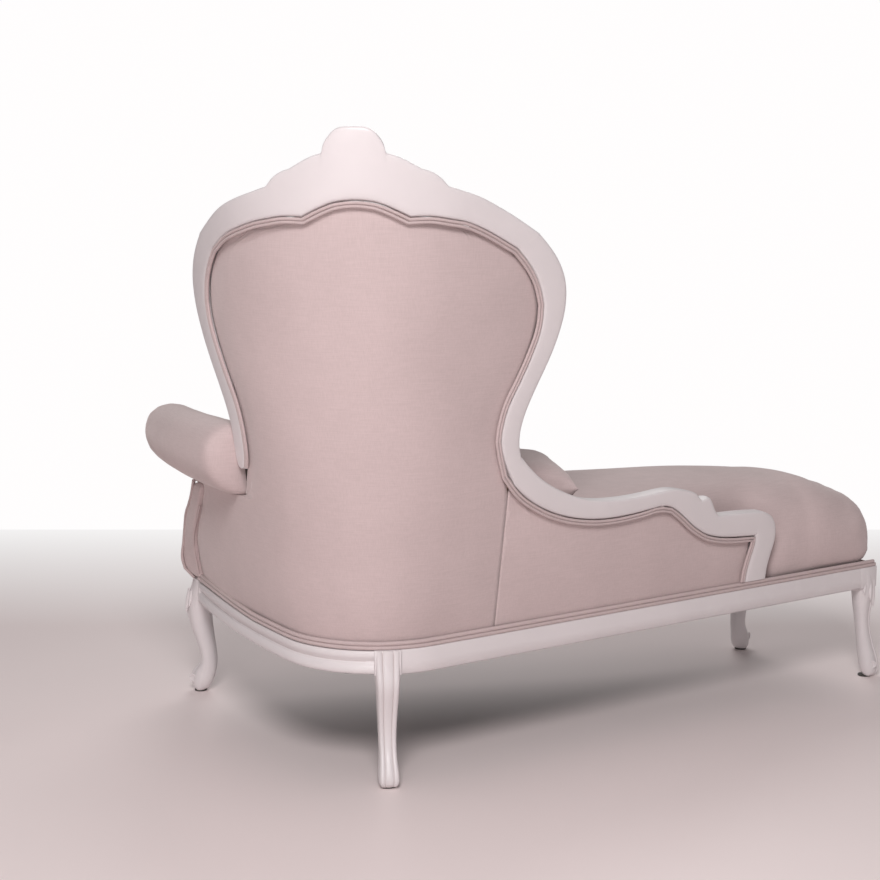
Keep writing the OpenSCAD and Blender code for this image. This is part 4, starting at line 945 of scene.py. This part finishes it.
def room():
    """A pale floor that ends a few metres behind the couch, where it fades into a white wall: towards its far
    end the floor glows white for the camera, as painted light.
    """
    shape = bmesh.new()
    bmesh.ops.create_grid(shape, x_segments=1, y_segments=1, size=1.0)
    away = math.atan2(SIGHT[1], SIGHT[0])
    place = (Matrix.Rotation(away, 4, "Z") @ Matrix.Translation((-2.0, 0, 0))
             @ Matrix.Diagonal((3.75, 8.0, 1, 1)))
    bmesh.ops.transform(shape, matrix=place, verts=shape.verts)
    mesh = bpy.data.meshes.new("floor")
    shape.to_mesh(mesh)
    shape.free()
    floor = bpy.data.objects.new("floor", mesh)
    bpy.context.scene.collection.objects.link(floor)
    paint = Paint("pale_floor", (0.90, 0.790, 0.782), 0.45)
    mist = paint.ramp(paint.noise(0.8, 3), [(0.3, (0.88, 0.770, 0.762)), (0.7, (0.92, 0.810, 0.802))])
    turned = paint.add("ShaderNodeMapping", vector_type="POINT")
    turned.inputs["Rotation"].default_value = (0, 0, -away)
    paint.link(paint.place, turned.inputs["Vector"])
    apart = paint.add("ShaderNodeSeparateXYZ")
    paint.link(turned.outputs["Vector"], apart.inputs[0])
    # Painted light: for the camera, the floor turns into a white glow with distance
    distance = paint.ramp(paint.math("MULTIPLY", paint.math("ADD", apart.outputs["X"], 4.0), 0.16),
                          [(0.73, (0, 0, 0)), (0.93, (0.85, 0.85, 0.85))])
    fade = paint.math("MULTIPLY", distance, paint.add("ShaderNodeLightPath").outputs["Is Camera Ray"])
    paint.finish(mist)
    glow = paint.add("ShaderNodeEmission")
    mixed = paint.add("ShaderNodeMixShader")
    paint.link(fade, mixed.inputs["Fac"])
    paint.link(paint.shader.outputs["BSDF"], mixed.inputs[1])
    paint.link(glow.outputs["Emission"], mixed.inputs[2])
    paint.link(mixed.outputs["Shader"], paint.tree.nodes["Material Output"].inputs["Surface"])
    floor.data.materials.append(paint.material)
    world = bpy.data.worlds.new("studio")
    bpy.context.scene.world = world
    world.use_nodes = True
    back = world.node_tree.nodes["Background"]
    back.inputs["Color"].default_value = (1.0, 0.985, 0.985, 1)
    path = world.node_tree.nodes.new("ShaderNodeLightPath")
    level = world.node_tree.nodes.new("ShaderNodeMix")
    level.data_type = "FLOAT"
    level.inputs["A"].default_value = 0.27
    level.inputs["B"].default_value = 1.0
    world.node_tree.links.new(path.outputs["Is Camera Ray"], level.inputs["Factor"])
    world.node_tree.links.new(level.outputs["Result"], back.inputs["Strength"])


def lamp(name, place, target, size, power, tint=(1, 1, 1)):
    light = bpy.data.lights.new(name, "AREA")
    light.shape = "DISK"
    light.size = size
    light.energy = power
    light.color = tint
    obj = bpy.data.objects.new(name, light)
    obj.location = place
    obj.rotation_euler = (Vector(target) - Vector(place)).to_track_quat("-Z", "Y").to_euler()
    bpy.context.scene.collection.objects.link(obj)


def viewpoint():
    """The photograph's standpoint: behind the couch, off its head end, a little above seat height."""
    lens = bpy.data.cameras.new("camera")
    lens.sensor_width = 36
    lens.lens = lens.sensor_width * FOCAL_PIXELS / PICTURE_PIXELS
    lens.clip_end = 60
    camera = bpy.data.objects.new("camera", lens)
    camera.location = STANDPOINT
    sight = Vector((*(part * math.cos(TILT) for part in SIGHT), -math.sin(TILT)))
    camera.rotation_euler = sight.to_track_quat("-Z", "Y").to_euler()
    bpy.context.scene.collection.objects.link(camera)
    bpy.context.scene.camera = camera


room()
lamp("key", (2.0, 2.45, 2.7), (0.3, 0.1, 0.55), 1.2, 74, (1.0, 0.972, 0.970))
lamp("fill", (2.9, 2.3, 0.75), (0.3, 0.1, 0.35), 1.4, 17, (1.0, 0.968, 0.968))
lamp("back", (-1.6, -2.4, 2.9), (0, 0, 0.5), 2.4, 38, (1.0, 0.98, 0.97))
viewpoint()
bpy.context.scene.view_settings.view_transform = "Standard"
